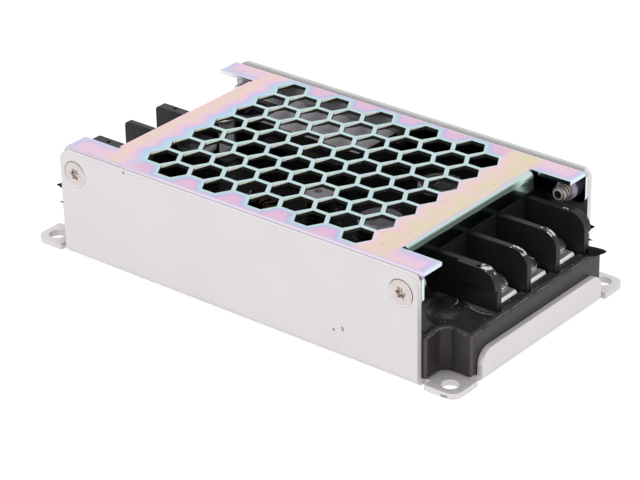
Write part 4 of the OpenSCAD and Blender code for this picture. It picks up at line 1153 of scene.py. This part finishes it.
# %% Terminal screws
screw_low, screw_high = box_mm("input_screw_1")
HEAD_R = (screw_high[0] - screw_low[0]) / 2
HEAD_ROUND = 1.0
CLAMP_SCREW_R = 1.75
CLAMP_SCREW_L = 5.2
CLAMP_THREAD = 0.6
CLAMP_THREAD_DEPTH = 0.32
CROSS_DEPTH = 1.0
SLOT_DEPTH = 0.6


def clamp_screw(sides=120):
    """Pan head over a threaded shank. The head's top is a height above each point of a disc, less the
    depth of the cross and of the slot."""
    angle = np.linspace(0, 2 * np.pi, sides, endpoint=False)
    flat_r = HEAD_R - HEAD_ROUND
    r = np.concatenate([np.linspace(0, flat_r, 26),
                        flat_r + HEAD_ROUND * np.sin(np.linspace(0.1, np.pi / 2, 10))])
    over = np.maximum(r - HEAD_R + HEAD_ROUND, 0)
    top = HEAD_H - HEAD_ROUND + np.sqrt(np.maximum(HEAD_ROUND ** 2 - over ** 2, 0)) - 0.02 * r ** 2
    x, y = r[:, None] * np.cos(angle), r[:, None] * np.sin(angle)
    arm = lambda a, b: (1 - ease(np.abs(a), 0.34, 0.44)) * (1 - ease(np.abs(b), 1.25, 1.6))
    cross = np.maximum(arm(x, y), arm(y, x)) * CROSS_DEPTH
    slot = (1 - ease(np.abs(y), 0.3, 0.38)) * SLOT_DEPTH
    dome = np.maximum(top[:, None] - np.maximum(cross, slot), HEAD_H - HEAD_ROUND - 0.35)
    rows, heights = threaded(CLAMP_SCREW_R, CLAMP_THREAD, CLAMP_THREAD_DEPTH, -CLAMP_SCREW_L + 0.4,
                             -0.05, sides)
    ring = np.ones(sides)
    radius = np.concatenate([r[:, None] * ring, [HEAD_R * ring, (HEAD_R - 0.1) * ring], rows[::-1],
                             [0.7 * CLAMP_SCREW_R * ring, 0 * ring]])
    height = np.concatenate([dome, [0.1 * ring, 0 * ring], heights[::-1, None] * ring,
                             [-CLAMP_SCREW_L * ring] * 2])
    return turned(radius, height, sides)


pan_screw = clamp_screw()
TERMINALS = [("input", i) for i in (1, 2, 3)] + [("output", i) for i in (1, 2)]
for side, i in TERMINALS:
    node = f"{side}_screw_{i}"
    low, high = box_mm(node)
    seat = np.array([(low[0] + high[0]) / 2, (low[1] + high[1]) / 2, high[2] - HEAD_H])
    slot_turn = math.radians(25.0 * i + (40.0 if side == "output" else 0.0))
    c, s = math.cos(slot_turn), math.sin(slot_turn)
    turn = np.array([[c, s, 0], [-s, c, 0], [0, 0, 1]])
    piece(f"{side}_terminal_screw_{i}", [patch(pan_screw @ turn + seat, wrap=True)], head_steel,
          f"{side}_screw_body_{i}", (node,))

# %% [markdown]
# ## Lock washers and clamp plates
# A lock washer is a bar bent into a ring with a gap, and its two ends stand a little apart in height:
# a rectangle carried along one turn of a shallow helix. The clamp plates are flat squares with their
# edges rounded by tumbling.

# %% Lock washers and clamp plates
WASHER_SPLIT_DEG = 12.0
WASHER_RISE = 0.06
WASHER_STATIONS = 72
CLAMP_ROUND = 0.07


def lock_washer(inner, outer, bar_h):
    """A bar's section with broken corners, turned and lifted along one turn of a helix."""
    bar = np.array([[inner, 0.04], [inner + 0.04, 0], [outer - 0.08, 0], [outer, 0.08], [outer, bar_h - 0.08],
                    [outer - 0.08, bar_h], [inner + 0.04, bar_h], [inner, bar_h - 0.04]])
    bend = np.radians(np.linspace(WASHER_SPLIT_DEG / 2, 360 - WASHER_SPLIT_DEG / 2, WASHER_STATIONS))
    rise = np.linspace(0, WASHER_RISE, WASHER_STATIONS)
    return np.stack([np.cos(bend)[:, None] * bar[:, 0], np.sin(bend)[:, None] * bar[:, 0],
                     rise[:, None] + bar[:, 1]], -1)


for side, i in TERMINALS:
    node = f"{side}_washer_{i}"
    low, high = box_mm(node)
    ring = lock_washer(CLAMP_SCREW_R + 0.1, (high[1] - low[1]) / 2, high[2] - low[2] - WASHER_RISE)
    middle = ((low[0] + high[0]) / 2, (low[1] + high[1]) / 2, low[2])
    piece(f"{side}_lock_washer_{i}", [patch(ring + middle, wrap=True, caps=True)], terminal_steel,
          f"{side}_clamp_body_{i}", (node,))
    softened(f"{side}_clamp_{i}", terminal_steel, f"{side}_clamp_body_{i}", CLAMP_ROUND,
             f"{side}_clamp_plate_{i}")

# %% [markdown]
# ## Coils
# The input choke is a drum wound with one layer of wire, and the output choke is a ring with turns
# of thick wire through its hole. A round wire is a small circle carried along a path: a helix on the
# drum, and a rounded rectangle round the ring's section for each turn.

# %% Drum choke
WIRE_R = 0.45
DRUM_POST_R = 1.55
DRUM_END_GAP = 0.1


def tube(path, radius, sides=8, closed=False):
    """A circle of a radius carried along a path: it stands square to the path's own direction."""
    ahead = np.roll(path, -1, 0) - np.roll(path, 1, 0) if closed else np.gradient(path, axis=0)
    ahead /= np.linalg.norm(ahead, axis=1)[:, None]
    helper = np.where(np.abs(ahead[:, 2:]) > 0.9, [[1.0, 0, 0]], [[0, 0, 1.0]])
    sideways = np.cross(ahead, helper)
    sideways /= np.linalg.norm(sideways, axis=1)[:, None]
    upright = np.cross(sideways, ahead)
    angle = np.linspace(0, 2 * np.pi, sides, endpoint=False)
    ring = np.cos(angle)[:, None] * sideways[:, None] + np.sin(angle)[:, None] * upright[:, None]
    points = path[:, None] + radius * ring
    return np.concatenate([points, points[:1]]) if closed else points


drum_low, drum_high = box_mm("input_choke_winding")
drum_x, drum_y, _ = (drum_low + drum_high) / 2
coil_r = (drum_high[0] - drum_low[0]) / 2 - WIRE_R
turns = (drum_high[2] - drum_low[2] - 2 * WIRE_R) / (2 * WIRE_R + 0.02)
angle = np.linspace(0, 2 * np.pi * turns, int(turns * 40))
climb = np.linspace(drum_low[2] + WIRE_R, drum_high[2] - WIRE_R, len(angle))
helix = np.stack([drum_x + coil_r * np.cos(angle), drum_y + coil_r * np.sin(angle), climb], -1)
core_z = (drum_low[2] + DRUM_END_GAP, drum_high[2] - DRUM_END_GAP)
core = turned([DRUM_POST_R, coil_r - 0.1, coil_r - 0.1, DRUM_POST_R, DRUM_POST_R],
              [core_z[k] for k in (0, 0, 1, 1, 0)], 40)
piece("input_choke_turns", [patch(tube(helix, WIRE_R), wrap=True, caps=True),
                            patch(core + (drum_x, drum_y, 0), wrap=True)],
      copper_wire, "case", ("input_choke_winding",))

# %% Ring choke
RING_TURNS = 18
RING_WIDTH = 3.4
wind_low, wind_high = box_mm("output_choke_winding")
ring_low, ring_high = box_mm("output_choke_core")
ring_x, ring_y, ring_z = (wind_low + wind_high) / 2
outer_r = (wind_high[0] - wind_low[0]) / 2 - WIRE_R
inner_r = (ring_high[0] - ring_low[0]) / 2 - RING_WIDTH - WIRE_R - 0.05
half_h = (wind_high[2] - wind_low[2]) / 2 - WIRE_R
loop = np.linspace(0, 2 * np.pi, 48, endpoint=False)
squarish = lambda v: np.sign(v) * np.abs(v) ** 0.35
loop_r = (outer_r + inner_r) / 2 + (outer_r - inner_r) / 2 * squarish(np.cos(loop))
loop_z = ring_z + half_h * squarish(np.sin(loop))
loops = []
for a in 2 * np.pi * np.arange(RING_TURNS) / RING_TURNS:
    path = np.stack([ring_x + loop_r * math.cos(a), ring_y + loop_r * math.sin(a), loop_z], -1)
    loops.append(patch(tube(path, WIRE_R, closed=True), wrap=True))
piece("output_choke_turns", loops, copper_wire, "case", ("output_choke_winding",))

# %% [markdown]
# ## Studio
# The object stands on a white floor in white light, as in a product picture. The world is white to the
# eye and in reflections, and dimmer as a lamp, so that pale paint doesn't burn out. A broad lamp above
# and weaker ones around give the shapes their shading. On the side where the front right is mirrored
# the world is darker, which gives metal its contrast.

# %% World
WORLD_LIGHT = 0.55
FRONT_SHADE = 0.5
FRONT = (0.62, -0.76, 0.1)
WHITE = (255, 255, 255)


def ray_kinds(tree, *kinds):
    """1 for rays of the named kinds, one field for each."""
    path = add_node(tree, "LightPath")
    return [Field(tree, path.outputs[f"Is {kind} Ray"]) for kind in kinds]


world = bpy.data.worlds.new("studio")
scene.world = world
world.use_nodes = True
sky = world.node_tree
seen, through, glossy = ray_kinds(sky, "Camera", "Transmission", "Glossy")
way = add_node(sky, "TexCoord").outputs["Generated"]
frontal = Field(sky, add_node(sky, "VectorMath", way, FRONT, operation="DOT_PRODUCT").outputs["Value"])
mirrored = frontal.step(0.2, 0.95) * -FRONT_SHADE + 1.0
strength = (seen.high(through) * (1 - WORLD_LIGHT) + WORLD_LIGHT).high(glossy * mirrored)
background = sky.nodes["Background"]
fill(sky, background.inputs["Color"], WHITE)
fill(sky, background.inputs["Strength"], strength)
print("world lights with", WORLD_LIGHT)

# %% Floor
FLOOR_SIZE = 6.0
FLOOR_GLOW = 0.74
FLOOR_GREY = 0.42
corner = FLOOR_SIZE / 2
floor_mesh = bpy.data.meshes.new("floor")
floor_corners = [(sx * corner, sy * corner, 0) for sx, sy in ((-1, -1), (1, -1), (1, 1), (-1, 1))]
floor_mesh.from_pydata(floor_corners, [], [(0, 1, 2, 3)])
floor = bpy.data.objects.new("floor", floor_mesh)
scene.collection.objects.link(floor)
floor_finish = Finish("floor", (FLOOR_GREY, FLOOR_GREY, FLOOR_GREY, 1), 1.0, mirror=0.0)
seen, glossy, through = ray_kinds(floor_finish.tree, "Camera", "Glossy", "Transmission")
floor_finish.put(Emission_Color=WHITE, Emission_Strength=seen.high(glossy).high(through) * FLOOR_GLOW)
floor_mesh.materials.append(floor_finish.material)
print("floor", FLOOR_SIZE, "m wide")


# %% Lamps
def softbox(name, at, size, watts):
    """A square lamp that faces the object. Metal doesn't mirror it, only the white world."""
    lamp = bpy.data.lights.new(name, "AREA")
    lamp.size = size
    lamp.energy = watts
    box = bpy.data.objects.new(name, lamp)
    box.location = at
    to_object = -np.array(at) / np.linalg.norm(at)
    box.rotation_euler = (math.acos(-to_object[2]), 0, math.atan2(to_object[1], to_object[0]) - math.pi / 2)
    scene.collection.objects.link(box)
    box.visible_glossy = False
    print(name, watts, "W at", at)


softbox("lamp_above", (-0.1, -0.1, 0.9), 0.8, 3.4)
softbox("lamp_front", (-0.2, -0.9, 0.35), 0.7, 3.5)
softbox("lamp_right", (0.9, -0.1, 0.35), 0.7, 3.4)
softbox("lamp_back", (-0.13, 0.81, 0.88), 0.22, 0.7)
